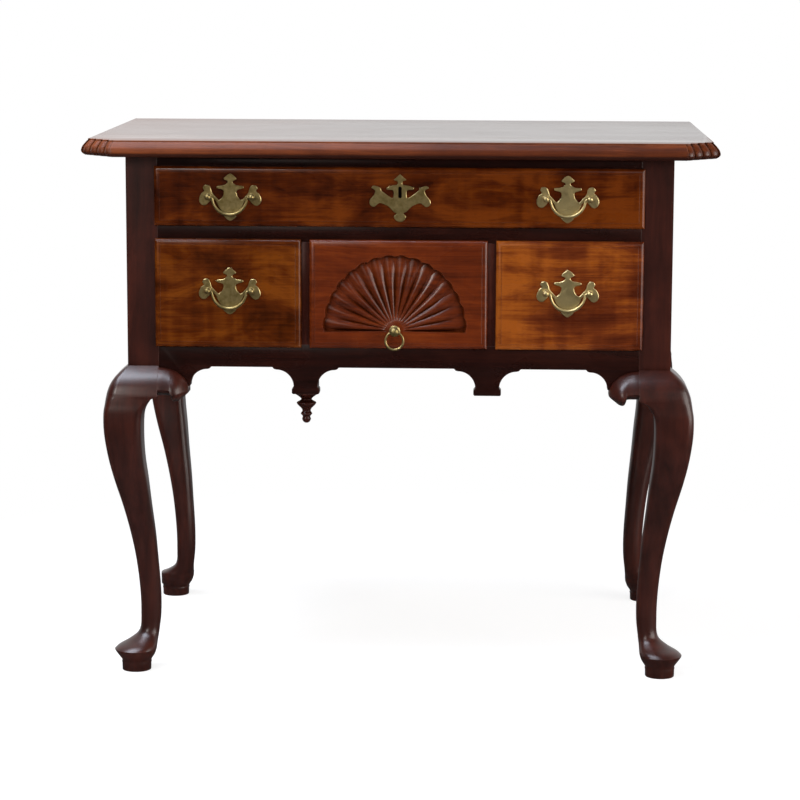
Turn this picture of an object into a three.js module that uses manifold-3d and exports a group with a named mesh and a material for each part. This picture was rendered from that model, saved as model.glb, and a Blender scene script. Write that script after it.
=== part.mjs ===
import * as THREE from 'three';
import { mergeVertices } from 'three/addons/utils/BufferGeometryUtils.js';
import Module from 'manifold-3d';

const wasm = await Module();
wasm.setup();

// Driving dimensions in millimetres: X is right, Y is back, Z is up, the floor is zero
const caseWidth = 765;
const caseDepth = 480;
const topHeight = 762;
const topThickness = 23;
const topSideOverhang = 64.5;
const topFrontOverhang = 32;
const topRearOverhang = 25;
const postWidth = 44;
const postArris = 1;
const kneeReach = 33;
const kneeRise = 0.5;
const topRailHeight = 17.4;
const topOpeningHeight = 75.5;
const middleRailHeight = 26;
const lowerOpeningHeight = 145.2;
const apronBandHeight = 32.4;
const centreOpeningWidth = 242;
const dividerWidth = 19.5;
const railThickness = 22;
const middleRailDepth = 50;
const panelThickness = 16;
const backBoardThickness = 14;

// Clearances and one overrun for every cut
const runGap = 0.3;
const fitGap = 0.3;
const sideClearance = 1;
const topClearance = 3;
const cutOverrun = 2;

// Planes that every piece takes its place from
const caseHalf = caseWidth / 2;
const topHalfWidth = caseHalf + topSideOverhang;
const caseBack = caseDepth / 2;
const caseFront = -caseBack;
const postInnerX = caseHalf - postWidth;
const postInnerY = caseBack - postWidth;
const railTop = topHeight - topThickness;
const topOpeningTop = railTop - topRailHeight;
const topOpeningBottom = topOpeningTop - topOpeningHeight;
const lowerOpeningTop = topOpeningBottom - middleRailHeight;
const lowerOpeningBottom = lowerOpeningTop - lowerOpeningHeight;
const bayHeight = lowerOpeningBottom - apronBandHeight;
const kneeTop = bayHeight + kneeRise;
const dividerInnerX = centreOpeningWidth / 2;
const dividerOuterX = dividerInnerX + dividerWidth;
const backBoardFront = caseBack - backBoardThickness;
const apronBack = caseFront + railThickness;
const panelInnerX = caseHalf - panelThickness;

// Finishes
function finish(color, roughness, metalness) {
  return () => new THREE.MeshStandardMaterial({ color, roughness, metalness });
}
const darkMahogany = finish(0x3a1d16, 0.35, 0);
const topMahogany = finish(0x5a2c1c, 0.25, 0);
const drawerMahogany = finish(0x7a3c18, 0.35, 0);
const secondaryWood = finish(0xb48a5c, 0.75, 0);
const agedBrass = finish(0x83744a, 0.4, 0.9);
const darkIron = finish(0x3c3a38, 0.6, 0.8);

const lowboy = new THREE.Group();
lowboy.name = 'lowboy';

// Basic solids: manifolds for joining and cutting, and meshes for the finished pieces
function toManifold(geometry) {
  const bare = geometry.clone();
  bare.deleteAttribute('normal');
  bare.deleteAttribute('uv');
  const merged = mergeVertices(bare);
  const vertProperties = new Float32Array(merged.attributes.position.array);
  const triVerts = new Uint32Array(merged.index.array);
  return new wasm.Manifold(new wasm.Mesh({ numProp: 3, vertProperties, triVerts }));
}

function addPiece(name, solid, material) {
  const result = solid.getMesh();
  const geometry = new THREE.BufferGeometry();
  geometry.setAttribute('position', new THREE.BufferAttribute(new Float32Array(result.vertProperties), 3));
  geometry.setIndex(new THREE.BufferAttribute(new Uint32Array(result.triVerts), 1));
  const mesh = new THREE.Mesh(geometry, material());
  mesh.name = name;
  lowboy.add(mesh);
}

// A block between two corners
function block(lowX, highX, lowY, highY, lowZ, highZ) {
  const geometry = new THREE.BoxGeometry(highX - lowX, highY - lowY, highZ - lowZ);
  geometry.translate((lowX + highX) / 2, (lowY + highY) / 2, (lowZ + highZ) / 2);
  return toManifold(geometry);
}

// An outline in X and Z, carried back from frontY to backY
function board(outline, frontY, backY) {
  const shape = new THREE.Shape(outline.map(([x, z]) => new THREE.Vector2(x, z)));
  const geometry = new THREE.ExtrudeGeometry(shape, { depth: backY - frontY, bevelEnabled: false });
  geometry.rotateX(Math.PI / 2);
  geometry.translate(0, backY, 0);
  return toManifold(geometry);
}

// Rings of equal point counts joined one after another, with both ends closed
function loft(rings) {
  const count = rings[0].length;
  const positions = rings.flat(2);
  const index = [];
  for (let level = 0; level < rings.length - 1; level += 1) {
    for (let point = 0; point < count; point += 1) {
      const here = level * count + point;
      const next = level * count + ((point + 1) % count);
      index.push(here, next, next + count, here, next + count, here + count);
    }
  }
  const last = (rings.length - 1) * count;
  for (const [low, reversed] of [[0, true], [last, false]]) {
    const ends = rings[low / count];
    const flatAxis = [0, 1, 2].find((axis) => ends.every((point) => point[axis] === ends[0][axis]));
    const flat = ends.map((point) => new THREE.Vector2(point[(flatAxis + 1) % 3], point[(flatAxis + 2) % 3]));
    const turned = THREE.ShapeUtils.area(flat) > 0;
    for (const [a, b, c] of THREE.ShapeUtils.triangulateShape(flat, [])) {
      const corners = turned === reversed ? [a, c, b] : [a, b, c];
      index.push(...corners.map((corner) => low + corner));
    }
  }
  const geometry = new THREE.BufferGeometry();
  geometry.setAttribute('position', new THREE.BufferAttribute(new Float32Array(positions), 3));
  geometry.setIndex(loftFacesOut(rings) ? index : turnFaces(index));
  return toManifold(geometry);
}

// Whether the rings run the right way round for outward faces
function loftFacesOut(rings) {
  const across = new THREE.Vector3();
  const first = rings[0].map((point) => new THREE.Vector3(...point));
  for (let point = 0; point < first.length; point += 1) {
    across.add(new THREE.Vector3().crossVectors(first[point], first[(point + 1) % first.length]));
  }
  const along = new THREE.Vector3(...rings[rings.length - 1][0]).sub(first[0]);
  return across.dot(along) > 0;
}

function turnFaces(index) {
  const turned = [];
  for (let corner = 0; corner < index.length; corner += 3) {
    turned.push(index[corner], index[corner + 2], index[corner + 1]);
  }
  return turned;
}

// Cabriole legs, each one piece with its square corner post: rows of shares of the knee's
// height, of the knee's reach outwards, of the post's width inwards, and two corner roundings
// as shares of the section's width, first the outer corner and then the other three
const legShares = [
  [1, 0, 1, 0, 0],
  [0.985, 0.21, 1, 0.12, 0],
  [0.967, 0.43, 1, 0.16, 0],
  [0.945, 0.66, 1, 0.19, 0],
  [0.922, 0.79, 1, 0.2, 0],
  [0.909, 0.85, 1, 0.2, 0],
  [0.9, 0.88, 0.8, 0.2, 0.06],
  [0.882, 0.935, 0.65, 0.2, 0.12],
  [0.851, 0.99, 0.5, 0.2, 0.16],
  [0.79, 0.98, 0.47, 0.22, 0.2],
  [0.711, 0.84, 0.5, 0.25, 0.24],
  [0.632, 0.61, 0.59, 0.28, 0.28],
  [0.542, 0.29, 0.68, 0.33, 0.33],
  [0.451, 0.02, 0.78, 0.38, 0.38],
  [0.361, -0.18, 0.85, 0.44, 0.44],
  [0.26, -0.31, 0.92, 0.5, 0.5],
  [0.18, -0.34, 0.92, 0.5, 0.5],
  [0.124, -0.28, 0.86, 0.5, 0.5],
  [0.097, 0.13, 0.83, 0.5, 0.5],
  [0.081, 0.56, 0.82, 0.5, 0.5],
  [0.07, 0.74, 0.81, 0.5, 0.5],
  [0.063, 0.7, 0.79, 0.5, 0.5],
  [0.05, 0.59, 0.75, 0.5, 0.5],
  [0.04, 0.47, 0.68, 0.5, 0.5],
  [0.031, 0.42, 0.63, 0.5, 0.5],
  [0, 0.43, 0.62, 0.5, 0.5],
];
const sectionCornerSteps = 3;
const ankleShare = 0.18;
const rearPadLimit = 0.5;

// How far the leg's outer face stands out at a height
function legOut(height) {
  const share = height / kneeTop;
  const above = legShares.findIndex((row) => row[0] <= share);
  if (above <= 0) {
    return legShares[Math.max(above, 0)][1] * kneeReach;
  }
  const [upper, lower] = [legShares[above - 1], legShares[above]];
  const part = (upper[0] - share) / (upper[0] - lower[0]);
  return (upper[1] + (lower[1] - upper[1]) * part) * kneeReach;
}

// A rounded square from low to high in both directions, with its own outer corner
function legSection(low, high, outerRadius, otherRadius) {
  const corners = [
    [high, high, -1, -1, outerRadius, 0],
    [low, high, 1, -1, otherRadius, 1],
    [low, low, 1, 1, otherRadius, 2],
    [high, low, -1, 1, otherRadius, 3],
  ];
  const points = [];
  for (const [a, b, inA, inB, radius, quarter] of corners) {
    for (let step = 0; step <= sectionCornerSteps; step += 1) {
      const angle = (Math.PI / 2) * (quarter + step / sectionCornerSteps);
      points.push([
        a + inA * radius + radius * Math.cos(angle),
        b + inB * radius + radius * Math.sin(angle),
      ]);
    }
  }
  return points;
}

function leg(signX, signY) {
  const levels = [[railTop, 0, 1, 0, 0]];
  for (const [height, ...rest] of legShares) {
    levels.push([height * kneeTop, ...rest]);
  }
  return loft(levels.map(([height, outShare, inShare, outerShare, otherShare]) => {
    const isRearPad = signY > 0 && height < ankleShare * kneeTop;
    const high = (isRearPad ? Math.min(outShare, rearPadLimit) : outShare) * kneeReach;
    const low = -inShare * postWidth;
    const outerRadius = Math.max(outerShare * (high - low), postArris);
    const otherRadius = Math.max(otherShare * (high - low), postArris);
    return legSection(low, high, outerRadius, otherRadius)
      .map(([a, b]) => [signX * (caseHalf + a), signY * (caseBack + b), height]);
  }));
}

const cornerNames = [
  ['front_left', -1, -1], ['front_right', 1, -1], ['rear_left', -1, 1], ['rear_right', 1, 1],
];
for (const [name, signX, signY] of cornerNames) {
  addPiece(`leg_${name}`, leg(signX, signY), darkMahogany);
}

// Knee brackets: glued beside the post under the apron or the side panel, with an arched
// upper edge, a front that swells like the knee and a rounded lobe that hangs at the end
const bracketLength = 42.5;
const bracketFall = 2;
const bracketTop = bayHeight - bracketFall;
const bracketArchHeight = 34;
const bracketTipDrop = 47;
const bracketEndHeight = 1.5;
const bracketSwell = 1.12;
const bracketFrontSteps = 6;
// Shares of the bracket's length, then of the drop from its top to the tip of the lobe
const bracketUndersideShares = [
  [0, 0.8], [0.14, 0.8], [0.38, 0.81], [0.42, 0.88], [0.47, 0.97], [0.55, 1], [0.66, 0.97],
  [0.78, 0.89], [0.9, 0.81], [0.985, 0.74],
];

function bracketUpper(distance) {
  return bracketTop - bracketArchHeight * (1 - Math.sqrt(1 - (distance / bracketLength) ** 2));
}

function bracket(place, depth) {
  return loft(bracketUndersideShares.map(([along, down]) => {
    const distance = along * bracketLength;
    const upper = bracketUpper(distance);
    const lower = Math.min(bracketTop - down * bracketTipDrop, upper - bracketEndHeight);
    const swell = Math.sqrt(1 - (along / bracketSwell) ** 2);
    const ring = [place(distance, -depth, upper), place(distance, -depth, lower)];
    for (let step = 0; step <= bracketFrontSteps; step += 1) {
      const height = lower + (upper - lower) * (step / bracketFrontSteps);
      ring.push(place(distance, legOut(height + bracketTop - upper) * swell, height));
    }
    return ring;
  }));
}

for (const [name, sign] of [['left', -1], ['right', 1]]) {
  const place = (along, out, height) => [sign * (postInnerX - along), caseFront - out, height];
  addPiece(`bracket_front_${name}`, bracket(place, railThickness), darkMahogany);
}
for (const [name, signX, signY] of cornerNames) {
  const place = (along, out, height) => [signX * (caseHalf + out), signY * (postInnerY - along), height];
  addPiece(`bracket_side_${name}`, bracket(place, panelThickness), darkMahogany);
}

// Lower edge of the apron and of the side panels: level bays, small steps and coves
const coveRadius = 24.5;
const coveSteps = 6;
const stepWidth = 5.5;
const stepDrop = 3.5;
const stepSlope = 2;
const coveToBracket = 1.5;
const bracketMeetSteps = 6;
const bracketMeetStart = 0.14;

// From a bay down a cove that ends at endX; forward runs away from the bay
function coveEdge(endX, forward) {
  const points = [];
  const startX = endX - forward * coveRadius;
  const coveTop = bayHeight - stepDrop;
  points.push([startX - forward * stepWidth, bayHeight]);
  points.push([startX - forward * (stepWidth - stepSlope), coveTop + stepDrop / 4]);
  for (let step = 0; step <= coveSteps; step += 1) {
    const angle = (Math.PI / 2) * (step / coveSteps);
    const alongX = startX + forward * coveRadius * Math.sin(angle);
    points.push([alongX, coveTop - coveRadius + coveRadius * Math.cos(angle)]);
  }
  return points;
}

// From the corner cove's foot up round the top of a bracket to the post at postEdge
function bracketEdge(postEdge) {
  const points = [];
  for (let step = 0; step <= bracketMeetSteps; step += 1) {
    const share = bracketMeetStart + (1 - bracketMeetStart) * (step / bracketMeetSteps);
    const angle = (Math.PI / 2) * share;
    points.push([
      postEdge - (bracketLength + fitGap) * Math.cos(angle),
      bracketTop - bracketArchHeight + (bracketArchHeight + fitGap) * Math.sin(angle),
    ]);
  }
  return points;
}

function cornerEdge(postEdge) {
  return [...coveEdge(postEdge - bracketLength - coveToBracket, 1), ...bracketEdge(postEdge)];
}

// Apron with two drop blocks
const dropBlockX = 128.2;
const dropBlockShift = -2.7;
const dropNeckHalf = 16.8;
const dropBaseHalf = 19.5;
const dropBlockHeight = 38.3;
const dropBaseHeight = 10.2;
const dropBaseBevel = 1.5;
const dropBlockDepth = 38;
const dropBottom = bayHeight - dropBlockHeight;

function dropHalf(middleX, forward) {
  return [
    ...coveEdge(middleX - forward * dropNeckHalf, forward),
    [middleX - forward * dropBaseHalf, dropBottom + dropBaseHeight - dropBaseBevel * 2],
    [middleX - forward * dropBaseHalf, dropBottom + dropBaseBevel],
    [middleX - forward * (dropBaseHalf - dropBaseBevel), dropBottom],
  ];
}

const dropEdge = (middleX) => [...dropHalf(middleX, 1), ...dropHalf(middleX, -1).reverse()];
const mirrored = (points) => points.map(([x, z]) => [-x, z]).reverse();
const dropBlocks = [dropBlockShift - dropBlockX, dropBlockShift + dropBlockX];
const apronOutline = [
  ...mirrored(cornerEdge(postInnerX)),
  ...dropBlocks.flatMap(dropEdge),
  ...cornerEdge(postInnerX),
  [postInnerX, lowerOpeningBottom],
  [-postInnerX, lowerOpeningBottom],
];
let apron = board(apronOutline, caseFront, apronBack);
for (const middleX of dropBlocks) {
  apron = apron.add(block(
    middleX - dropNeckHalf, middleX + dropNeckHalf,
    apronBack, caseFront + dropBlockDepth, dropBottom, lowerOpeningBottom,
  ));
}
addPiece('apron', apron, darkMahogany);

// Turned pendant under the left drop block: shares of its largest radius and of its height
const pendantRadius = 18;
const pendantHeight = 44;
const pendantSides = 16;
const pendantShares = [
  [0, 0], [1, 0], [0.93, 0.04], [0.6, 0.13], [0.42, 0.21], [0.5, 0.26], [0.77, 0.35], [0.62, 0.43],
  [0.4, 0.52], [0.33, 0.6], [0.42, 0.67], [0.45, 0.71], [0.31, 0.77], [0.33, 0.82], [0.34, 0.88],
  [0.24, 0.955], [0, 1],
];
const pendantProfile = pendantShares.map(([radius, down]) => (
  new THREE.Vector2(radius * pendantRadius, down * pendantHeight)));
const pendant = new THREE.LatheGeometry(pendantProfile, pendantSides);
pendant.rotateX(-Math.PI / 2);
pendant.translate(dropBlocks[0], caseFront + dropBlockDepth / 2, dropBottom);
addPiece('pendant', toManifold(pendant), darkMahogany);

// Side panels between the posts, with the same coves at their lower corners
const panelLowerHalf = cornerEdge(postInnerY);
const panelOutline = [
  ...mirrored(panelLowerHalf),
  ...panelLowerHalf,
  [postInnerY, railTop],
  [-postInnerY, railTop],
];
for (const [name, sign] of [['left', -1], ['right', 1]]) {
  const inner = sign * panelInnerX;
  const outer = sign * caseHalf;
  const panel = board(panelOutline, Math.min(inner, outer), Math.max(inner, outer));
  const turned = panel.transform([0, 1, 0, 0, 1, 0, 0, 0, 0, 0, -1, 0, 0, 0, 0, 1]);
  const placed = turned.transform([1, 0, 0, 0, 0, 1, 0, 0, 0, 0, -1, 0, 0, 0, 0, 1]);
  addPiece(`side_panel_${name}`, placed, darkMahogany);
}

// Back board, rails and dividers
addPiece('back_board', block(
  -postInnerX, postInnerX, backBoardFront, caseBack, bayHeight, railTop,
), secondaryWood);

const boltHalfWidth = 9;
const boltThickness = 4;
const boltFrontOffset = 4;
const boltThrow = 7;
const mortiseDepth = 9;
const boltFront = caseFront + boltFrontOffset;
const mortise = block(
  -boltHalfWidth - sideClearance, boltHalfWidth + sideClearance,
  boltFront - sideClearance, boltFront + boltThickness + sideClearance,
  topOpeningTop - cutOverrun, topOpeningTop + mortiseDepth,
);
const topRail = block(-postInnerX, postInnerX, caseFront, apronBack, topOpeningTop, railTop);
addPiece('top_rail', topRail.subtract(mortise), darkMahogany);

const middleRailBack = caseFront + middleRailDepth;
addPiece('middle_rail', block(
  -postInnerX, postInnerX, caseFront, middleRailBack, lowerOpeningTop, topOpeningBottom,
), darkMahogany);

for (const [name, sign] of [['left', -1], ['right', 1]]) {
  const middleX = sign * (dividerInnerX + dividerWidth / 2);
  addPiece(`divider_${name}`, block(
    middleX - dividerWidth / 2, middleX + dividerWidth / 2, caseFront, apronBack,
    lowerOpeningBottom, lowerOpeningTop,
  ), darkMahogany);
}

// Drawer runners: a tray that carries the drawer, and a guide beside its sides
const runnerThickness = 28;
const runnerTrayWidth = 26;
const guideHeight = 20;

function outerRunner(sign, level, frontY) {
  const trayInner = sign * (postInnerX - runnerTrayWidth);
  const trayOuter = sign * postInnerX;
  const guideOuter = sign * panelInnerX;
  const low = level - runnerThickness;
  const tray = block(
    Math.min(trayInner, trayOuter), Math.max(trayInner, trayOuter), frontY, backBoardFront, low, level,
  );
  const guide = block(
    Math.min(trayOuter, guideOuter), Math.max(trayOuter, guideOuter), -postInnerY, postInnerY,
    low, level + guideHeight,
  );
  return tray.add(guide);
}

for (const [name, sign] of [['left', -1], ['right', 1]]) {
  addPiece(`top_runner_${name}`, outerRunner(sign, topOpeningBottom, middleRailBack), secondaryWood);
  addPiece(`lower_runner_outer_${name}`, outerRunner(sign, lowerOpeningBottom, apronBack), secondaryWood);
  const middleX = sign * (dividerInnerX + dividerWidth / 2);
  const reach = dividerWidth / 2 + runnerTrayWidth;
  const low = lowerOpeningBottom - runnerThickness;
  const blockBack = caseFront + dropBlockDepth;
  const tray = block(middleX - reach, middleX + reach, blockBack, backBoardFront, low, lowerOpeningBottom);
  const guide = block(
    middleX - dividerWidth / 2, middleX + dividerWidth / 2, blockBack, backBoardFront, low,
    lowerOpeningBottom + guideHeight,
  );
  addPiece(`lower_runner_inner_${name}`, tray.add(guide), secondaryWood);
}

// Top board: a plain rear edge, a moulded front and side edge, and canted front corners
// carved in lobes; rows of shares of the board's thickness from the underside, of the
// moulding's depth, and of the carving's depth
const mouldingDepth = 12;
const cantLeg = 47;
const lobeCount = 4;
const lobeSteps = 4;
const lobeDepth = 5;
const edgeShares = [
  [0, 1, 0.3], [0.1, 0.62, 0.6], [0.22, 0.25, 0.9], [0.36, 0.04, 1], [0.5, 0, 1], [0.66, 0.06, 1],
  [0.8, 0.22, 1], [0.9, 0.45, 0.9], [0.93, 0.6, 0.8], [1, 0.64, 0.8],
];
const topFront = caseFront - topFrontOverhang;
const topRear = caseBack + topRearOverhang;

function topRing([rise, insetShare, carveShare]) {
  const inset = insetShare * mouldingDepth;
  const height = railTop + rise * topThickness;
  const slide = inset * Math.tan(Math.PI / 8);
  const sideX = topHalfWidth - inset;
  const frontY = topFront + inset;
  const start = [topHalfWidth - cantLeg - slide, frontY];
  const end = [sideX, topFront + cantLeg + slide];
  const right = [];
  const stepCount = lobeCount * lobeSteps;
  for (let step = 0; step <= stepCount; step += 1) {
    const share = step / stepCount;
    const notch = 1 - Math.sqrt(Math.abs(Math.sin(Math.PI * lobeCount * share)));
    const inward = notch * carveShare * lobeDepth * Math.SQRT1_2 * (step % stepCount === 0 ? 0 : 1);
    right.push([
      start[0] + (end[0] - start[0]) * share - inward,
      start[1] + (end[1] - start[1]) * share + inward,
    ]);
  }
  right.push([sideX, topRear]);
  const left = right.map(([x, y]) => [-x, y]).reverse();
  return [...right, ...left].map(([x, y]) => [x, y, height]);
}
addPiece('top_board', loft(edgeShares.map(topRing)), topMahogany);

// Drawers
const faceProud = 7;
const lipReach = 4;
const frontThickness = 20;
const drawerSideThickness = 10;
const drawerBackThickness = 10;
const bottomThickness = 7;
const bottomRise = 9;
const grooveDepth = 4;
const rearGap = 8;
const frontTopClearance = 1.2;
const faceY = caseFront - faceProud;
const frontBack = faceY + frontThickness;
const drawerRear = backBoardFront - rearGap;

// The lip round a drawer front: shares of its depth and of its reach, from back to face
const lipShares = [[0, 1], [0.2, 1], [0.5, 0.85], [0.75, 0.6], [0.92, 0.25], [1, 0]];

function drawerFront(lowX, highX, lowZ, highZ) {
  const lipBack = caseFront - runGap;
  const flange = loft(lipShares.map(([forward, reachShare]) => {
    const y = lipBack + (faceY - lipBack) * forward;
    const reach = lipReach * (reachShare * 2 - 1);
    return [
      [lowX - reach, y, lowZ - reach], [highX + reach, y, lowZ - reach],
      [highX + reach, y, highZ + reach], [lowX - reach, y, highZ + reach],
    ];
  }));
  const core = block(
    lowX + sideClearance, highX - sideClearance, (lipBack + faceY) / 2, frontBack,
    lowZ + runGap, highZ - frontTopClearance,
  );
  return flange.add(core);
}

function drawer(name, lowX, highX, lowZ, highZ, cutFront) {
  const outerLow = lowX + sideClearance;
  const outerHigh = highX - sideClearance;
  const innerLow = outerLow + drawerSideThickness;
  const innerHigh = outerHigh - drawerSideThickness;
  const bottomLow = lowZ + bottomRise;
  const bottomHigh = bottomLow + bottomThickness;
  const sideTop = highZ - topClearance;
  const groove = block(
    innerLow - grooveDepth, innerHigh + grooveDepth, frontBack - grooveDepth, drawerRear + cutOverrun,
    bottomLow - fitGap, bottomHigh + fitGap,
  );
  const front = drawerFront(lowX, highX, lowZ, highZ).subtract(groove);
  addPiece(`${name}_front`, cutFront(front), drawerMahogany);
  for (const [side, low] of [['left', outerLow], ['right', innerHigh]]) {
    const cheek = block(low, low + drawerSideThickness, frontBack, drawerRear, lowZ + runGap, sideTop);
    addPiece(`${name}_side_${side}`, cheek.subtract(groove), secondaryWood);
  }
  addPiece(`${name}_back`, block(
    innerLow, innerHigh, drawerRear - drawerBackThickness, drawerRear, bottomHigh + fitGap, sideTop,
  ), secondaryWood);
  addPiece(`${name}_bottom`, block(
    innerLow - grooveDepth + fitGap, innerHigh + grooveDepth - fitGap,
    frontBack - grooveDepth + fitGap, drawerRear, bottomLow, bottomHigh,
  ), secondaryWood);
}

// Keyhole and lock pocket in the top drawer's front
const lockHalfWidth = 30;
const lockHeight = 42;
const lockDepth = 14;
const keyholeRadius = 2.5;
const keyholeLength = 16.5;
const keyholeSides = 8;
const escutcheonX = 2;
const escutcheonFall = 0.65;
const escutcheonZ = topOpeningBottom + topOpeningHeight / 2 - escutcheonFall;
const keyholeRise = 8.2;
const keyholeZ = escutcheonZ + keyholeRise;
const lockTop = topOpeningTop - frontTopClearance;
const lockFront = frontBack - lockDepth;

function keyhole(halfWidth, length, frontY, backY) {
  const outline = [];
  for (const [quarter, middle] of [[0, 1], [1, -1]]) {
    for (let step = 0; step <= keyholeSides / 2; step += 1) {
      const angle = Math.PI * (quarter + step / (keyholeSides / 2));
      const centreZ = keyholeZ + middle * (length / 2 - halfWidth);
      outline.push([escutcheonX + halfWidth * Math.cos(angle), centreZ + halfWidth * Math.sin(angle)]);
    }
  }
  return board(outline, frontY, backY);
}

function cutTopFront(front) {
  const pocket = block(
    -lockHalfWidth, lockHalfWidth, lockFront, frontBack + cutOverrun,
    lockTop - lockHeight, lockTop + cutOverrun,
  );
  return front.subtract(pocket).subtract(keyhole(
    keyholeRadius, keyholeLength, faceY - cutOverrun, lockFront + cutOverrun,
  ));
}

const lockCase = block(
  -lockHalfWidth + fitGap, lockHalfWidth - fitGap, lockFront + fitGap, frontBack,
  lockTop - lockHeight + fitGap, lockTop,
);
const boltHeight = 24;
const boltSlot = block(
  -boltHalfWidth - fitGap, boltHalfWidth + fitGap, boltFront - fitGap, boltFront + boltThickness + fitGap,
  lockTop - boltHeight - fitGap, lockTop + cutOverrun,
);
addPiece('lock_case', lockCase.subtract(boltSlot), darkIron);
addPiece('lock_bolt', block(
  -boltHalfWidth, boltHalfWidth, boltFront, boltFront + boltThickness, lockTop - boltHeight, lockTop,
), darkIron);

// Fan carving sunk in the middle drawer's front: rounded rays from a low centre
const fanX = -5;
const fanHalfWidth = 99.5;
const fanHeight = 105.2;
const fanCentreRise = 21.4;
const fanDepth = 7.5;
const fanRidgeDepth = 4;
const fanHubDepth = 1.6;
const fanScallop = 2.6;
const fanRays = 16;
const fanRaySteps = 4;
const fanHubShare = 0.12;
const fanRingShares = [0.12, 0.5, 0.9, 1];
const fanCentreZ = lowerOpeningBottom + fanCentreRise;

function fanPoint(share, step, y) {
  const count = fanRays * fanRaySteps;
  const angle = Math.PI * (step / count);
  const ray = Math.abs(Math.sin(Math.PI * (step / fanRaySteps)));
  const stretch = share * (1 + (fanScallop / fanHeight) * ray);
  return [
    fanX + fanHalfWidth * stretch * Math.cos(angle),
    y,
    fanCentreZ + fanHeight * stretch * Math.sin(angle),
  ];
}

function fanCutter() {
  const count = fanRays * fanRaySteps;
  const positions = [];
  for (const share of fanRingShares) {
    for (let step = 0; step <= count; step += 1) {
      const ray = Math.abs(Math.sin(Math.PI * (step / fanRaySteps)));
      const open = (share - fanHubShare) / (1 - fanHubShare);
      const groove = fanHubDepth + (fanDepth - fanHubDepth) * open;
      const ridge = fanHubDepth + (fanRidgeDepth - fanHubDepth) * open;
      positions.push(fanPoint(share, step, faceY + groove + (ridge - groove) * ray));
    }
  }
  const front = fanRingShares.length;
  const before = faceY - cutOverrun;
  for (const share of [fanRingShares[front - 1], fanRingShares[0]]) {
    for (let step = 0; step <= count; step += 1) {
      positions.push(fanPoint(share, step, before));
    }
  }
  const rings = front + 2;
  const index = [];
  const row = count + 1;
  for (let ring = 0; ring < rings; ring += 1) {
    const nextRing = (ring + 1) % rings;
    for (let step = 0; step < count; step += 1) {
      const [a, b] = [ring * row + step, ring * row + step + 1];
      const [c, d] = [nextRing * row + step, nextRing * row + step + 1];
      index.push(a, c, d, a, d, b);
    }
  }
  for (const [end, turned] of [[0, true], [count, false]]) {
    const corners = [...Array(rings).keys()].map((ring) => ring * row + end);
    for (let ring = 1; ring < front - 1; ring += 1) {
      const triangle = [corners[ring], corners[ring + 1], corners[front]];
      index.push(...(turned ? triangle.reverse() : triangle));
    }
    for (const triangle of [
      [corners[0], corners[1], corners[front]],
      [corners[0], corners[front], corners[front + 1]],
    ]) {
      index.push(...(turned ? triangle.reverse() : triangle));
    }
  }
  const geometry = new THREE.BufferGeometry();
  geometry.setAttribute('position', new THREE.BufferAttribute(new Float32Array(positions.flat()), 3));
  geometry.setIndex(index);
  const cutter = toManifold(geometry);
  return cutter.volume() > 0 ? cutter : toManifold(geometry.setIndex(turnFaces(index)));
}

const uncut = (front) => front;
drawer('drawer_top', -postInnerX, postInnerX, topOpeningBottom, topOpeningTop, cutTopFront);
drawer('drawer_left', -postInnerX, -dividerOuterX, lowerOpeningBottom, lowerOpeningTop, uncut);
drawer('drawer_right', dividerOuterX, postInnerX, lowerOpeningBottom, lowerOpeningTop, uncut);
drawer('drawer_centre', -dividerInnerX, dividerInnerX, lowerOpeningBottom, lowerOpeningTop, (front) => (
  front.subtract(fanCutter())));

// Bat-wing plates: right halves of their outlines, as shares of half the width and height
const plateHalfWidth = 43;
const plateHalfHeight = 33;
const plateThickness = 1.6;
const pullPlateShares = [
  [0, 1], [0.1, 0.93], [0.21, 0.77], [0.09, 0.68], [0.1, 0.59], [0.22, 0.5], [0.42, 0.47], [0.43, 0.38],
  [0.26, 0.32], [0.2, 0.22], [0.24, 0.03], [0.36, -0.12], [0.48, 0.02], [0.59, 0.18], [0.63, 0.36],
  [0.7, 0.5], [0.83, 0.5], [0.89, 0.38], [0.84, 0.26], [0.93, 0.16], [1, -0.02], [1, -0.2],
  [0.91, -0.34], [0.79, -0.34], [0.69, -0.22], [0.58, -0.08], [0.46, -0.18], [0.41, -0.32],
  [0.34, -0.5], [0.22, -0.66], [0.11, -0.74], [0.2, -0.81], [0.1, -0.94],
];
const escutcheonShares = [
  [0, 1], [0.09, 0.9], [0.2, 0.77], [0.09, 0.71], [0.083, 0.58], [0.23, 0.54], [0.42, 0.46],
  [0.42, 0.36], [0.23, 0.33], [0.21, 0.12], [0.25, 0], [0.48, 0.19], [0.6, 0.31], [0.65, 0.44],
  [0.83, 0.52], [0.93, 0.44], [0.8, 0.31], [0.86, 0.1], [0.98, -0.1], [0.97, -0.29], [0.85, -0.37],
  [0.75, -0.29], [0.65, -0.21], [0.43, -0.31], [0.32, -0.42], [0.2, -0.58], [0.11, -0.65], [0.2, -0.78],
  [0.12, -0.95],
];

function plate(shares, centreX, centreZ) {
  const half = shares.map(([across, up]) => [across * plateHalfWidth, up * plateHalfHeight]);
  const outline = [...half.slice(1).map(([x, z]) => [-x, z]).reverse(), ...half, [0, -plateHalfHeight]];
  return board(outline.map(([x, z]) => [centreX + x, centreZ + z]), faceY - plateThickness, faceY);
}

const escutcheon = plate(escutcheonShares, escutcheonX, escutcheonZ);
addPiece('escutcheon', escutcheon.subtract(keyhole(
  keyholeRadius, keyholeLength, faceY - plateThickness - cutOverrun, faceY + cutOverrun,
)), agedBrass);

// Posts on the plates, each with an eye for the bail's end
const postSpacing = 61;
const postRise = 0.8;
const postRadius = 3;
const postHeadRadius = 4.3;
const postLength = 15;
const postSides = 12;
const eyeRadius = 2;
const pivotRadius = 1.6;
const pivotOut = 11;
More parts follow.
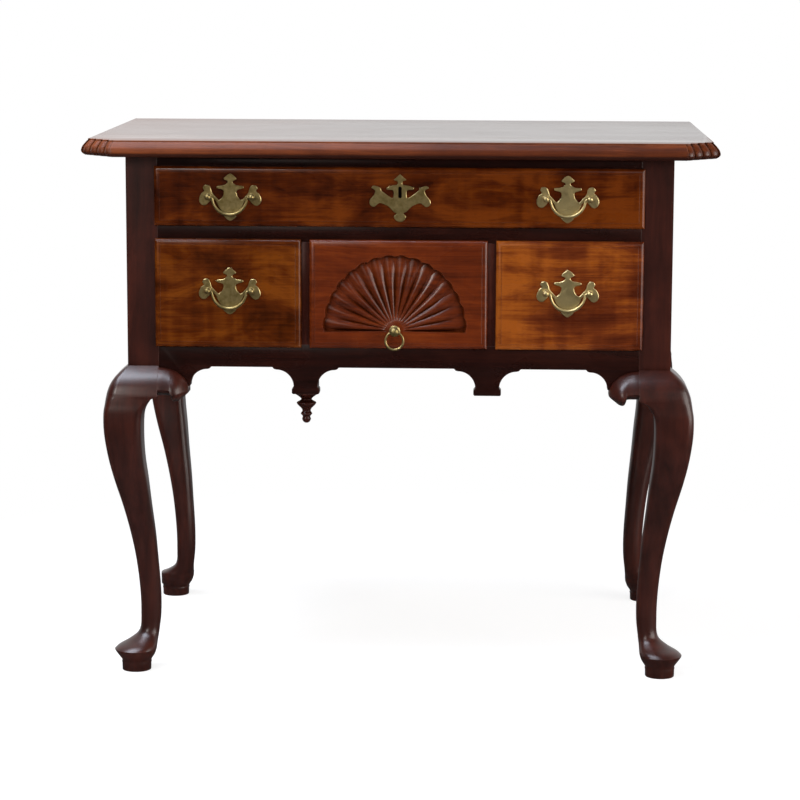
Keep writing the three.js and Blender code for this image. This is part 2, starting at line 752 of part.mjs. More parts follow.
// Shares of the head's radius and of the post's length
const postShares = [
  [0, 0], [0.9, 0], [0.6, 0.12], [0.6, 0.36], [0.95, 0.48], [1, 0.74], [0.75, 0.93], [0, 1],
];
const pivotY = faceY - pivotOut;

function turnedPost(centreX, centreZ) {
  const profile = postShares.map(([radius, out]) => (
    new THREE.Vector2(radius * postHeadRadius, out * postLength)));
  const geometry = new THREE.LatheGeometry(profile, postSides);
  geometry.rotateX(Math.PI);
  geometry.translate(centreX, faceY - plateThickness / 2, centreZ);
  return toManifold(geometry);
}

function eye(centreX, centreZ) {
  const geometry = new THREE.CylinderGeometry(eyeRadius, eyeRadius, postHeadRadius * 4, postSides);
  geometry.rotateZ(Math.PI / 2);
  geometry.translate(centreX, pivotY, centreZ);
  return toManifold(geometry);
}

// Bails: half an ellipse below the pivots, thicker in the middle, with ends turned into the eyes
const bailHalfWidth = 24.2;
const bailDrop = 24.5;
const bailRadius = 1.7;
const bailMiddleRadius = 2.5;
const bailSteps = 14;
const bailSides = 8;
const bailEndReach = postSpacing / 2 + postRadius - bailHalfWidth;

function bail(centreX, pivotZ) {
  const rings = [];
  const ringAt = (x, z, radius, normalX, normalZ) => {
    const ring = [];
    for (let side = 0; side < bailSides; side += 1) {
      const angle = (Math.PI * 2 * side) / bailSides;
      const across = radius * Math.cos(angle);
      ring.push([
        centreX + x + normalX * across,
        pivotY + radius * Math.sin(angle),
        pivotZ + z + normalZ * across,
      ]);
    }
    return ring;
  };
  rings.push(ringAt(-bailHalfWidth - bailEndReach, 0, pivotRadius, 0, -1));
  rings.push(ringAt(-bailHalfWidth - bailRadius, 0, pivotRadius, 0, -1));
  for (let step = 0; step <= bailSteps; step += 1) {
    const angle = Math.PI * (step / bailSteps);
    const lean = Math.atan2(bailDrop * Math.cos(angle), bailHalfWidth * Math.sin(angle));
    const isEnd = step === 0 || step === bailSteps;
    const tilt = isEnd ? Math.PI / 4 : lean;
    const side = step <= bailSteps / 2 ? -1 : 1;
    const radius = bailRadius + (bailMiddleRadius - bailRadius) * Math.sin(angle) ** 2;
    const normal = isEnd ? [side * Math.sin(tilt), -Math.cos(tilt)] : [-Math.sin(lean), -Math.cos(lean)];
    rings.push(ringAt(-bailHalfWidth * Math.cos(angle), -bailDrop * Math.sin(angle), radius, ...normal));
  }
  rings.push(ringAt(bailHalfWidth + bailRadius, 0, pivotRadius, 0, -1));
  rings.push(ringAt(bailHalfWidth + bailEndReach, 0, pivotRadius, 0, -1));
  return loft(rings);
}

const topPullX = 235.2;
const topPullFall = 0.85;
const lowerPullInward = 2.8;
const lowerPullRise = 3.75;
const topPullZ = topOpeningBottom + topOpeningHeight / 2 - topPullFall;
const lowerPullX = (dividerOuterX + postInnerX) / 2 - lowerPullInward;
const lowerPullZ = (lowerOpeningBottom + lowerOpeningTop) / 2 + lowerPullRise;
const pulls = [
  ['top_left', -topPullX, topPullZ], ['top_right', topPullX, topPullZ],
  ['left', -lowerPullX, lowerPullZ], ['right', lowerPullX, lowerPullZ],
];
for (const [name, centreX, centreZ] of pulls) {
  let pullPlate = plate(pullPlateShares, centreX, centreZ);
  for (const sign of [-1, 1]) {
    const postX = centreX + (sign * postSpacing) / 2;
    pullPlate = pullPlate.add(turnedPost(postX, centreZ + postRise)).subtract(eye(postX, centreZ + postRise));
  }
  addPiece(`pull_plate_${name}`, pullPlate, agedBrass);
  addPiece(`bail_${name}`, bail(centreX, centreZ + postRise), agedBrass);
}

// Ring pull: a boss with an eye, and a ring that hangs in it
const ringRadius = 12.5;
const ringWire = 1.6;
const ringSides = 8;
const ringSteps = 24;
const bossLength = 16;
const bossRadius = 6.5;
const bossEyeRadius = 3.2;
const bossOut = 9.5;
const bossSides = 12;
const bossZ = fanCentreZ;
// Shares of the boss's radius and of its length
const bossShares = [
  [0, 0], [1.1, 0], [0.6, 0.14], [0.55, 0.26], [0.88, 0.36], [1, 0.6], [0.85, 0.84], [0.5, 0.95], [0, 1],
];
const bossProfile = bossShares.map(([radius, out]) => (
  new THREE.Vector2(radius * bossRadius, out * bossLength)));
const bossGeometry = new THREE.LatheGeometry(bossProfile, bossSides);
bossGeometry.rotateX(Math.PI);
bossGeometry.translate(fanX, faceY, bossZ);
const bossEye = new THREE.CylinderGeometry(bossEyeRadius, bossEyeRadius, bossRadius * 4, bossSides);
bossEye.rotateZ(Math.PI / 2);
bossEye.translate(fanX, faceY - bossOut, bossZ);
addPiece('ring_boss', toManifold(bossGeometry).subtract(toManifold(bossEye)), agedBrass);

const ring = new THREE.TorusGeometry(ringRadius, ringWire, ringSides, ringSteps);
ring.rotateX(Math.PI / 2);
ring.translate(fanX, faceY - bossOut, bossZ - ringRadius);
addPiece('ring', toManifold(ring), agedBrass);

export default lowboy;
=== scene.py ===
from math import cos, hypot, pi, radians, sin, sqrt, tan

import bmesh
import bpy
from mathutils import Matrix, Vector


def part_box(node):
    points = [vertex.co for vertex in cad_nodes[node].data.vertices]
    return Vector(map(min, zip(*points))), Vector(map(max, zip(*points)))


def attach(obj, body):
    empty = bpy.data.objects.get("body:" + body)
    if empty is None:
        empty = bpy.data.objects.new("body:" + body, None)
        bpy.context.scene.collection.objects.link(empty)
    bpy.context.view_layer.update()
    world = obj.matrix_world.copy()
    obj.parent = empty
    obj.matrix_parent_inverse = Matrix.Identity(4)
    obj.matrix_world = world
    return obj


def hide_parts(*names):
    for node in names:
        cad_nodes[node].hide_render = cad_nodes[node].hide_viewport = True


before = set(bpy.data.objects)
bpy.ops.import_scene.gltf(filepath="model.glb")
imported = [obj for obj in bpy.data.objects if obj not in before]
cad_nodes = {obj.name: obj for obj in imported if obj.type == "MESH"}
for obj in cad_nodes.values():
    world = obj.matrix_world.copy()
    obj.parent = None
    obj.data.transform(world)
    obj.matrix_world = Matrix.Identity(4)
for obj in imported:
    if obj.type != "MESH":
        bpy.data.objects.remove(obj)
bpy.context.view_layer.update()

# The wood of the case.
# Dense red-brown mahogany, worked with planes and scrapers and finished with many thin coats
# of varnish; its open pores run with the grain, and hands have rubbed its edges pale.


def link_inputs(node, inputs):
    """Each input takes a number, a colour, a node's output or a node for its first output."""
    for key, given in inputs.items():
        if isinstance(given, bpy.types.Node):
            given = given.outputs[0]
        if isinstance(given, bpy.types.NodeSocket):
            node.id_data.links.new(given, node.inputs[key])
        else:
            node.inputs[key].default_value = given


def add_node(tree, kind, inputs=None, **settings):
    made = tree.nodes.new(kind)
    for key, setting in settings.items():
        setattr(made, key, setting)
    link_inputs(made, inputs or {})
    return made


def maths(operation, first, second=0.0, clamp=False):
    """A Math node's output, in the tree of the side that comes from a node."""
    tree = (first if isinstance(first, bpy.types.NodeSocket) else second).id_data
    made = add_node(tree, "ShaderNodeMath", {0: first, 1: second}, operation=operation, use_clamp=clamp)
    return made.outputs[0]


def plus(first, second, clamp=False):
    return maths("ADD", first, second, clamp)


def less(first, second, clamp=False):
    return maths("SUBTRACT", first, second, clamp)


def times(first, second, clamp=False):
    return maths("MULTIPLY", first, second, clamp)


def remap(given, low, high, new_low=0.0, new_high=1.0):
    return add_node(given.id_data, "ShaderNodeMapRange", {
        "Value": given, "From Min": low, "From Max": high, "To Min": new_low, "To Max": new_high}).outputs[0]


def blend_colours(share, first, second):
    return add_node(share.id_data, "ShaderNodeMix", {0: share, 6: first, 7: second}, data_type="RGBA").outputs[2]


def bump(height, strength, distance):
    return add_node(height.id_data, "ShaderNodeBump", {
        "Height": height, "Strength": strength, "Distance": distance}).outputs[0]


def coordinates(tree, kind="Object"):
    return add_node(tree, "ShaderNodeTexCoord").outputs[kind]


def axes(vector):
    return add_node(vector.id_data, "ShaderNodeSeparateXYZ", {0: vector}).outputs


def noise(vector, size, detail=4.0, roughness=0.55, distortion=0.0):
    return add_node(vector.id_data, "ShaderNodeTexNoise", {
        "Vector": vector, "Scale": size, "Detail": detail, "Roughness": roughness, "Distortion": distortion,
    }).outputs[0]


def stretched(vector, along, across, shift=(0.0, 0.0, 0.0)):
    """Coordinates with the grain's direction and the two across it scaled apart."""
    return add_node(vector.id_data, "ShaderNodeMapping", {
        "Vector": vector, "Scale": (along, across, across), "Location": shift}).outputs[0]


def node_group(name, kind, inputs, outputs):
    """An empty node group with its ends; an input may have a starting value."""
    group = bpy.data.node_groups.new(name, kind)
    for side, sockets in (("INPUT", inputs), ("OUTPUT", outputs)):
        for label, sort, *start in sockets:
            socket = group.interface.new_socket(label, in_out=side, socket_type=f"NodeSocket{sort}")
            if start:
                socket.default_value = start[0]
    return group, add_node(group, "NodeGroupInput").outputs, add_node(group, "NodeGroupOutput")


def effect(group, vector, **settings):
    """A shared effect's outputs, with a material's own values."""
    return add_node(vector.id_data, "ShaderNodeGroup", {"Vector": vector, **settings}, node_tree=group).outputs


grain_group, given, made = node_group("wood_grain", "ShaderNodeTree", [
    ("Vector", "Vector"), ("Streaks", "Float", 0.4), ("Blotches", "Float", 0.4), ("Ribbon", "Float", 0.1),
    ("Fineness", "Float", 1.0),
], [("Figure", "Float"), ("Pores", "Float"), ("Height", "Float")])
vector, fineness = given["Vector"], given["Fineness"]
sway = times(less(noise(stretched(vector, 3.0, 5.0), 1.0, 2.0), 0.5), 0.03)
bend = add_node(grain_group, "ShaderNodeCombineXYZ", {"Y": sway, "Z": sway})
wavy = add_node(grain_group, "ShaderNodeVectorMath", {0: vector, 1: bend}).outputs[0]
streaks = noise(stretched(wavy, 2.4, 75.0), fineness, 5.0, 0.62)
lines = noise(stretched(wavy, 12.0, 430.0), fineness, 3.0, 0.6)
blotches = noise(stretched(wavy, 8.0, 24.0, (3.0, 1.0, 7.0)), fineness, 4.0, 0.6, 0.9)
ribbon = noise(stretched(wavy, 55.0, 7.0, (1.0, 9.0, 2.0)), fineness, 2.0, 0.5)
total = times(less(streaks, 0.5), given["Streaks"])
for pattern, strength in ((blotches, given["Blotches"]), (ribbon, given["Ribbon"]), (lines, 0.35)):
    total = plus(total, times(less(pattern, 0.5), strength))
pores = remap(noise(stretched(vector, 150.0, 2400.0), fineness, 1.0, 0.4), 0.62, 0.74)
link_inputs(made, {
    "Figure": plus(total, 0.5, clamp=True), "Pores": pores, "Height": less(times(lines, 0.4), pores)})

wear_group, given, made = node_group("edge_wear", "ShaderNodeTree", [
    ("Vector", "Vector"), ("Radius", "Float", 0.002), ("Patchiness", "Float", 0.5)], [("Worn", "Float")])
rounded = add_node(wear_group, "ShaderNodeBevel", {"Radius": given["Radius"]}, samples=4)
facing = add_node(wear_group, "ShaderNodeVectorMath", {
    0: rounded, 1: add_node(wear_group, "ShaderNodeNewGeometry").outputs["Normal"]},
    operation="DOT_PRODUCT").outputs["Value"]
patches = remap(noise(given["Vector"], 60.0, 3.0), 0.35, 0.65)
kept = less(1.0, times(less(1.0, patches), given["Patchiness"]))
link_inputs(made, {"Worn": times(remap(facing, 0.995, 0.9), kept, clamp=True)})

# Grime that settles in hollows, together with painted shade: ambient occlusion darkens recesses, creases and the
# joins between parts, where shade falls.
grime_and_shade_group, given, made = node_group("grime_and_painted_shade", "ShaderNodeTree", [
    ("Vector", "Vector"), ("Reach", "Float", 0.006)], [("Grime", "Float")])
hollow = add_node(grime_and_shade_group, "ShaderNodeAmbientOcclusion", {"Distance": given["Reach"]},
    samples=6, only_local=True).outputs["AO"]
uneven = times(less(noise(given["Vector"], 90.0, 3.0), 0.5), 0.25)
link_inputs(made, {"Grime": remap(plus(less(1.0, hollow), uneven), 0.1, 0.45)})


def srgb(red, green, blue):
    """A colour written as it looks, for a socket that takes it in linear light."""
    parts = [part / 255 for part in (red, green, blue)]
    return (*(p / 12.92 if p < 0.04045 else ((p + 0.055) / 1.055) ** 2.4 for p in parts), 1.0)


def over(colour, mask, share, tint):
    """The colour with a share of a tint laid over it where the mask is."""
    return blend_colours(times(mask, share), colour, srgb(*tint))


def new_material(name):
    material = bpy.data.materials.new(name)
    material.use_nodes = True
    return material, material.node_tree, material.node_tree.nodes["Principled BSDF"]


def grain_coordinates(tree, grain, shift):
    """Object coordinates turned so that their first axis runs with the grain."""
    turns = {"x": (0.0, 0.0, 0.0), "y": (0.0, 0.0, -pi / 2), "z": (0.0, pi / 2, 0.0)}
    turned = add_node(tree, "ShaderNodeMapping", {"Vector": coordinates(tree), "Rotation": turns[grain]})
    return add_node(tree, "ShaderNodeMapping", {"Vector": turned, "Location": shift}).outputs[0]


def varnished_wood(name, grain, shift, dark, middle, light, figure=(0.5, 0.6, 0.12), polish=0.22,
        gloss=0.25, worn=(140, 84, 56), wear=0.35, film=0.2, glint=0.15, lean=None):
    """Mahogany under varnish: figure between three colours, pores, worn edges, and grime with painted shade in
    hollows.

    Figure is the strength of its streaks, blotches and ribbon; lean lightens it from one x to another.
    """
    material, tree, shader = new_material(name)
    vector = grain_coordinates(tree, grain, shift)
    grained = effect(grain_group, vector, Streaks=figure[0], Blotches=figure[1], Ribbon=figure[2])
    figured = grained["Figure"]
    if lean:
        figured = plus(figured, remap(axes(coordinates(tree))[0], lean[0], lean[1], 0.0, lean[2]))
    ramp = add_node(tree, "ShaderNodeValToRGB", {0: figured})
    stops = ramp.color_ramp.elements
    stops[0].position, stops[0].color = 0.3, srgb(*dark)
    stops[1].position, stops[1].color = 0.72, srgb(*light)
    stops.new(0.5).color = srgb(*middle)
    grime_and_shade = effect(grime_and_shade_group, vector, Reach=0.01)[0]
    colour = over(ramp.outputs[0], grained["Pores"], 0.45, [part * 0.45 for part in dark])
    colour = over(colour, effect(wear_group, vector, Patchiness=0.7)[0], wear, worn)
    # Grime and painted shade darken the hollows, and the coat and its shine are thinned there too.
    colour = over(colour, grime_and_shade, 0.85, [part * 0.35 for part in dark])
    smears = noise(stretched(vector, 9.0, 16.0), 1.0, 3.0)
    clean_and_unshaded = less(1.0, grime_and_shade, clamp=True)
    link_inputs(shader, {
        "Base Color": colour,
        "Roughness": plus(remap(smears, 0.3, 0.7, polish, polish + 0.12), times(grained["Pores"], 0.15)),
        "Coat Weight": times(remap(smears, 0.3, 0.75, gloss, gloss * 0.75), clean_and_unshaded),
        "Coat Roughness": film,
        "Specular IOR Level": times(clean_and_unshaded, glint),
        "Normal": bump(plus(grained["Height"], times(noise(vector, 14.0, 2.0), 4.0)), 0.25, 0.0002),
    })
    return material


leg_wood = varnished_wood("dark_leg_mahogany", "z", (0.0, 0.3, 0.1), (34, 11, 6), (51, 18, 10), (68, 26, 15),
    gloss=0.9, film=0.3, polish=0.32, glint=0.1, worn=(86, 50, 40))

# Legs.
# Four cabriole legs, each sawn and carved from one block of mahogany with the square corner
# post above it, into which the rails, the apron, the side panels and the back are tenoned.
case_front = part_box("apron")[0].y
case_back = -case_front
case_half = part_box("side_panel_right")[1].x
rail_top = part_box("top_rail")[1].z
bay_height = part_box("back_board")[0].z
post_inner_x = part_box("top_rail")[1].x
post_width = case_half - post_inner_x
post_inner_y = case_back - post_width
knee_top = bay_height + 0.0005
knee_reach = 0.033
post_arris = 0.0005
# Shares of the knee's height, of its reach outwards and of the post's width inwards, then the
# rounding of the outer corner and of the other three as shares of the section's width
leg_shares = [
    (1, 0, 1, 0.03, 0), (0.985, 0.27, 1, 0.12, 0), (0.967, 0.52, 1, 0.16, 0), (0.945, 0.72, 1, 0.19, 0),
    (0.922, 0.84, 1, 0.2, 0), (0.909, 0.88, 1, 0.2, 0), (0.9, 0.9, 0.8, 0.2, 0.06),
    (0.882, 0.935, 0.65, 0.2, 0.12), (0.851, 0.99, 0.5, 0.2, 0.16), (0.79, 0.98, 0.47, 0.22, 0.2),
    (0.711, 0.84, 0.5, 0.25, 0.24), (0.632, 0.61, 0.59, 0.28, 0.28), (0.542, 0.29, 0.68, 0.33, 0.33),
    (0.451, 0.02, 0.78, 0.38, 0.38), (0.361, -0.18, 0.85, 0.44, 0.44), (0.26, -0.31, 0.92, 0.5, 0.5),
    (0.18, -0.34, 0.92, 0.5, 0.5), (0.124, -0.28, 0.86, 0.5, 0.5), (0.097, 0.13, 0.83, 0.5, 0.5),
    (0.081, 0.56, 0.82, 0.5, 0.5), (0.07, 0.74, 0.81, 0.5, 0.5),
]
foot_shares = [
    (0.067, 0.735, 0.8, 0.5, 0.5), (0.06, 0.68, 0.78, 0.5, 0.5), (0.05, 0.59, 0.74, 0.5, 0.5),
    (0.041, 0.5, 0.68, 0.5, 0.5), (0.035, 0.445, 0.64, 0.5, 0.5), (0.031, 0.43, 0.625, 0.5, 0.5),
    (0.027, 0.45, 0.64, 0.5, 0.5), (0.022, 0.435, 0.625, 0.5, 0.5), (0.002, 0.43, 0.62, 0.5, 0.5),
    (0, 0.42, 0.61, 0.5, 0.5),
]
ankle_share = 0.18
rear_pad_limit = 0.5
corner_steps = 8
merge_distance = 1e-6


def smoothed(rows, steps, closed=False):
    """Rows of numbers with curved steps between each two that pass through every row."""
    made = []
    last = len(rows) - 1
    for place in range(len(rows) if closed else last):
        if closed:
            near = [rows[(place + offset) % len(rows)] for offset in (-1, 0, 1, 2)]
        else:
            near = [rows[min(max(place + offset, 0), last)] for offset in (-1, 0, 1, 2)]
        for step in range(steps):
            t = step / steps
            made.append([
                0.5 * (2 * b + (c - a) * t + (2 * a - 5 * b + 4 * c - d) * t ** 2
                    + (3 * b - a - 3 * c + d) * t ** 3)
                for a, b, c, d in zip(*near)
            ])
    return made if closed else made + [list(rows[last])]


def arc(centre, reach, start, end, steps):
    """Points of an arc or of a part of an ellipse between two angles, with both ends."""
    turns = [start + (end - start) * step / steps for step in range(steps + 1)]
    return [(centre[0] + reach[0] * cos(turn), centre[1] + reach[1] * sin(turn)) for turn in turns]


def rounded_square(low, high, outer, other):
    """A square with one corner rounded by its own radius; its corners have equal point counts."""
    ring = []
    corners = ((high, high, -1, -1, outer), (low, high, 1, -1, other),
        (low, low, 1, 1, other), (high, low, -1, 1, other))
    for quarter, (a, b, in_a, in_b, radius) in enumerate(corners):
        ring += arc((a + in_a * radius, b + in_b * radius), (radius, radius),
            pi / 2 * quarter, pi / 2 * (quarter + 1), corner_steps)
    return ring


def in_scene(name, data):
    made = bpy.data.objects.new(name, data)
    bpy.context.scene.collection.objects.link(made)
    return made


def bmesh_piece(name, made, crease=35):
    """A piece from a bmesh, turned to face outwards and smooth but for its creases."""
    bmesh.ops.recalc_face_normals(made, faces=made.faces)
    mesh = bpy.data.meshes.new(name)
    made.to_mesh(mesh)
    made.free()
    mesh.shade_smooth()
    mesh.set_sharp_from_angle(angle=radians(crease))
    return in_scene(name, mesh)


def shaped(name, points, faces, crease=40):
    """A piece from points and faces."""
    rough = bpy.data.meshes.new("rough")
    rough.from_pydata([tuple(point) for point in points], [], faces)
    made = bmesh.new()
    made.from_mesh(rough)
    bpy.data.meshes.remove(rough)
    bmesh.ops.remove_doubles(made, verts=made.verts, dist=merge_distance)
    return bmesh_piece(name, made, crease)


def lofted(rings):
    """Faces over rings of equal point counts, with both ends closed."""
    count = len(rings[0])
    faces = []
    for level in range(len(rings) - 1):
        for place in range(count):
            here, there = level * count + place, level * count + (place + 1) % count
            faces.append((here, there, there + count, here + count))
    top = (len(rings) - 1) * count
    return faces + [tuple(range(count - 1, -1, -1)), tuple(range(top, top + count))]


def loft_piece(name, rings, crease=40):
    return shaped(name, [point for ring in rings for point in ring], lofted(rings), crease)


def fitted(piece, body, slot, material, *stands_for):
    """A finished piece takes its material, rides on its body and stands for its CAD nodes."""
    piece.data.materials.clear()
    piece.data.materials.append(material)
    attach(piece, body)
    if stands_for:
        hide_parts(*stands_for)
    return piece


sides = (("left", -1), ("right", 1))
ends = (("front", -1), ("rear", 1))
leg_rows = smoothed(leg_shares, 4) + [list(row) for row in foot_shares]
for side_x, sign_x in sides:
    for side_y, sign_y in ends:
        rings = []
        post = rounded_square(-post_width, 0.0, post_arris, post_arris)
        for height in (rail_top, knee_top + 0.0005):
            rings.append([(sign_x * (case_half + a), sign_y * (case_back + b), height) for a, b in post])
        for height, out, inwards, outer, other in leg_rows:
            if sign_y > 0 and height < ankle_share:
                out = min(out, rear_pad_limit)
            high, low = out * knee_reach, -inwards * post_width
            ring = rounded_square(low, high, max(outer * (high - low), post_arris),
                max(other * (high - low), post_arris))
            rings.append([(sign_x * (case_half + a), sign_y * (case_back + b), height * knee_top)
                for a, b in ring])
        fitted(loft_piece(f"carved_leg_{side_y}_{side_x}", rings), "case", "case_wood", leg_wood,
            f"leg_{side_y}_{side_x}")

# Knee brackets.
# Short scrolled blocks of the same wood, glued beside each knee under the apron and the side
# panels; their faces carry the knee's swell and end in a rounded lobe that hangs down.
bracket_length = 0.0425
bracket_top = bay_height - 0.002
bracket_arch = 0.034
bracket_tip = 0.047
bracket_end = 0.0015
bracket_swell = 1.12
front_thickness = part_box("top_rail")[1].y - case_front
panel_thickness = case_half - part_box("side_panel_right")[0].x
# Shares of the bracket's length, then of the drop from its top to the lobe's tip
bracket_shares = [
    (0, 0.8), (0.14, 0.8), (0.38, 0.81), (0.42, 0.88), (0.47, 0.97), (0.55, 1), (0.66, 0.97), (0.78, 0.89),
    (0.9, 0.81), (0.985, 0.74),
]
lobe_swell = 0.0045
lobe_middle = 0.62
lobe_spread = 0.2
bracket_rows = 12
bracket_ease = 0.35
bracket_ease_rate = 3.2


def leg_out(height):
    """How far the leg's outer face stands out at a height."""
    share = height / knee_top
    for upper, lower in zip(leg_rows, leg_rows[1:]):
        if upper[0] >= share > lower[0]:
            part = (upper[0] - share) / (upper[0] - lower[0])
            return (upper[1] + (lower[1] - upper[1]) * part) * knee_reach
    return 0.0


def bracket_rings(place, depth):
    rings = []
    for along, down in smoothed(bracket_shares, 4):
        distance = along * bracket_length
        upper = bracket_top - bracket_arch * (1 - sqrt(1 - along ** 2))
        lower = min(bracket_top - down * bracket_tip, upper - bracket_end)
        swell = sqrt(1 - (along / bracket_swell) ** 2)
        lobe = lobe_swell * 2 ** (-((along - lobe_middle) / lobe_spread) ** 2)
        ring = [place(distance, -depth, upper), place(distance, -depth, lower)]
        for step in range(bracket_rows + 1):
            rise = step / bracket_rows
            height = lower + (upper - lower) * rise
            ease = min(1.0, bracket_ease + bracket_ease_rate * rise)
            out = leg_out(height + bracket_top - upper) * swell + lobe * sin(pi * rise)
            ring.append(place(distance, out * ease, height))
        rings.append(ring)
    return rings


for side, sign in sides:
    rings = bracket_rings(lambda along, out, height: (
        sign * (post_inner_x - along), case_front - out, height), front_thickness)
    fitted(loft_piece(f"knee_scroll_front_{side}", rings, 50), "case", "case_wood", leg_wood,
        f"bracket_front_{side}")
for side_x, sign_x in sides:
    for side_y, sign_y in ends:
        rings = bracket_rings(lambda along, out, height: (
            sign_x * (case_half + out), sign_y * (post_inner_y - along), height), panel_thickness)
        fitted(loft_piece(f"knee_scroll_side_{side_y}_{side_x}", rings, 50), "case", "case_wood", leg_wood,
            f"bracket_side_{side_y}_{side_x}")

# Apron and drop blocks.
# One board of mahogany tenoned between the front posts, its lower edge sawn into level bays,
# small steps and coves, with two square blocks glued behind it where the dividers come down.
case_wood = varnished_wood("dark_case_mahogany", "x", (0.4, 0.0, 0.2), (22, 7, 4), (33, 11, 7), (46, 18, 11),
    worn=(104, 62, 48))
upright_wood = varnished_wood("dark_upright_mahogany", "z", (0.7, 0.2, 0.0), (34, 11, 7), (48, 18, 11),
    (76, 34, 24), worn=(120, 84, 76), wear=0.5)
cove_radius = 0.0245
cove_steps = 14
step_width = 0.0055
step_drop = 0.0035
step_slope = 0.002
cove_to_bracket = 0.0015
arch_start = 0.14
fit_gap = 0.0003
drop_block_x = 0.1282
drop_shift = -0.0027
neck_half = 0.0168
foot_half = 0.0195
drop_height = 0.0383
drop_foot = 0.0102
foot_bevel = 0.0015
drop_depth = 0.038
apron_back = case_front + front_thickness
opening_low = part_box("apron")[1].z
drop_bottom = bay_height - drop_height
arris = 0.0008


def cove_edge(end, forward):
    """From a bay down a cove that ends at end; forward runs away from the bay."""
    start = end - forward * cove_radius
    top = bay_height - step_drop
    return [(start - forward * step_width, bay_height),
        (start - forward * (step_width - step_slope), top + step_drop / 4),
        *arc((start, top - cove_radius), (forward * cove_radius, cove_radius), pi / 2, 0, cove_steps)]


def corner_edge(edge):
    """A corner cove and the arched top of the bracket that meets the post at edge."""
    return cove_edge(edge - bracket_length - cove_to_bracket, 1) + arc(
        (edge, bracket_top - bracket_arch), (-bracket_length - fit_gap, bracket_arch + fit_gap),
        pi / 2 * arch_start, pi / 2, cove_steps)


def drop_edge(middle):
    halves = []
    for forward in (1, -1):
        halves.append(cove_edge(middle - forward * neck_half, forward) + [
            (middle - forward * foot_half, drop_bottom + drop_foot - foot_bevel * 2),
            (middle - forward * foot_half, drop_bottom + foot_bevel),
            (middle - forward * (foot_half - foot_bevel), drop_bottom),
        ])
    return halves[0] + halves[1][::-1]


def mirrored(points):
    return [(-across, up) for across, up in reversed(points)]


def evaluated(piece):
    """A new mesh of the piece with its modifiers worked in."""
    bpy.context.view_layer.update()
    return bpy.data.meshes.new_from_object(piece.evaluated_get(bpy.context.evaluated_depsgraph_get()))


def eased(piece, width, segments=2, angle=38):
    """The piece's sharp edges taken off, as a plane or a scraper does."""
    softening = piece.modifiers.new("arris", "BEVEL")
    softening.width, softening.segments = width, segments
    softening.limit_method, softening.angle_limit = "ANGLE", radians(angle)
    softening.use_clamp_overlap = True
    made = evaluated(piece)
    piece.modifiers.clear()
    piece.data = made
    made.shade_smooth()
    made.set_sharp_from_angle(angle=radians(30))
    return piece


def board_points(outline, near, far, turned=False):
    """The two faces of a flat board: its outline in X or Y against Z, between two depths."""
    return [((depth, across, up) if turned else (across, depth, up))
        for depth in (near, far) for across, up in outline]


def board_faces(count, first=0):
    return ([(first + place, first + (place + 1) % count, first + count + (place + 1) % count,
        first + count + place) for place in range(count)]
        + [tuple(range(first, first + count)), tuple(range(first + count * 2 - 1, first + count - 1, -1))])


drop_middles = (drop_shift - drop_block_x, drop_shift + drop_block_x)
apron_outline = (mirrored(corner_edge(post_inner_x)) + drop_edge(drop_middles[0]) + drop_edge(drop_middles[1])
    + corner_edge(post_inner_x) + [(post_inner_x, opening_low), (-post_inner_x, opening_low)])
points = board_points(apron_outline, case_front, apron_back)
faces = board_faces(len(apron_outline))
for middle in drop_middles:
    square = [(middle - neck_half, drop_bottom + arris), (middle + neck_half, drop_bottom + arris),
        (middle + neck_half, opening_low), (middle - neck_half, opening_low)]
    faces += board_faces(4, len(points))
    points += board_points(square, apron_back - arris, case_front + drop_depth)
fitted(eased(shaped("shaped_apron", points, faces), arris), "case", "case_wood", case_wood, "apron")

# Pendant.
# A small turned drop with a dowelled neck, glued under the left block; its fellow on the right
# is lost.
pendant_radius = 0.018
pendant_height = 0.044
pendant_shares = [
    (0, 0), (0.96, 0), (1, 0.015), (0.93, 0.04), (0.6, 0.13), (0.42, 0.21), (0.5, 0.26), (0.72, 0.31),
    (0.77, 0.35), (0.62, 0.43), (0.4, 0.52), (0.33, 0.6), (0.42, 0.66), (0.45, 0.7), (0.31, 0.77),
    (0.31, 0.81), (0.35, 0.87), (0.25, 0.955), (0.12, 0.99), (0, 1),
]


def turned(name, rows, centre, along, radius, length, facets=40, crease=50):
    """A lathe-turned piece: shares of a radius and of a length, along one axis from its centre."""
    profile = [row for row in smoothed(rows, 4) if row[0] > 0.004]
    rings = []
    for across, down in profile:
        ring = arc((0, 0), (across * radius, across * radius), 0, 2 * pi, facets)[:-1]
        ring = [(a, b, -down * length) if along == "down" else (a, -down * length, b) for a, b in ring]
        rings.append([Vector(centre) + Vector(point) for point in ring])
    return loft_piece(name, rings, crease)


pendant_top = (drop_middles[0], case_front + drop_depth / 2, drop_bottom)
fitted(turned("turned_pendant", pendant_shares, pendant_top, "down", pendant_radius, pendant_height),
    "case", "case_wood", upright_wood, "pendant")

# Side panels.
# Wide boards of mahogany with the grain across, tenoned between the posts; their lower edges
# carry the same bays and coves as the apron.
side_wood = varnished_wood("dark_side_mahogany", "y", (0.1, 0.5, 0.3), (40, 15, 10), (58, 24, 15), (78, 35, 20))
half = corner_edge(post_inner_y)
panel_outline = mirrored(half) + half + [(post_inner_y, rail_top), (-post_inner_y, rail_top)]
for side, sign in sides:
    low, high = sorted((sign * (case_half - panel_thickness), sign * case_half))
    piece = shaped(f"wide_panel_{side}", board_points(panel_outline, low, high, True),
        board_faces(len(panel_outline)))
    fitted(eased(piece, arris), "case", "case_wood", side_wood, f"side_panel_{side}")

# Rails and dividers.
# Straight dark mahogany between the drawers, tenoned into the posts; the top rail has a
# mortise on its underside for the lock's bolt.


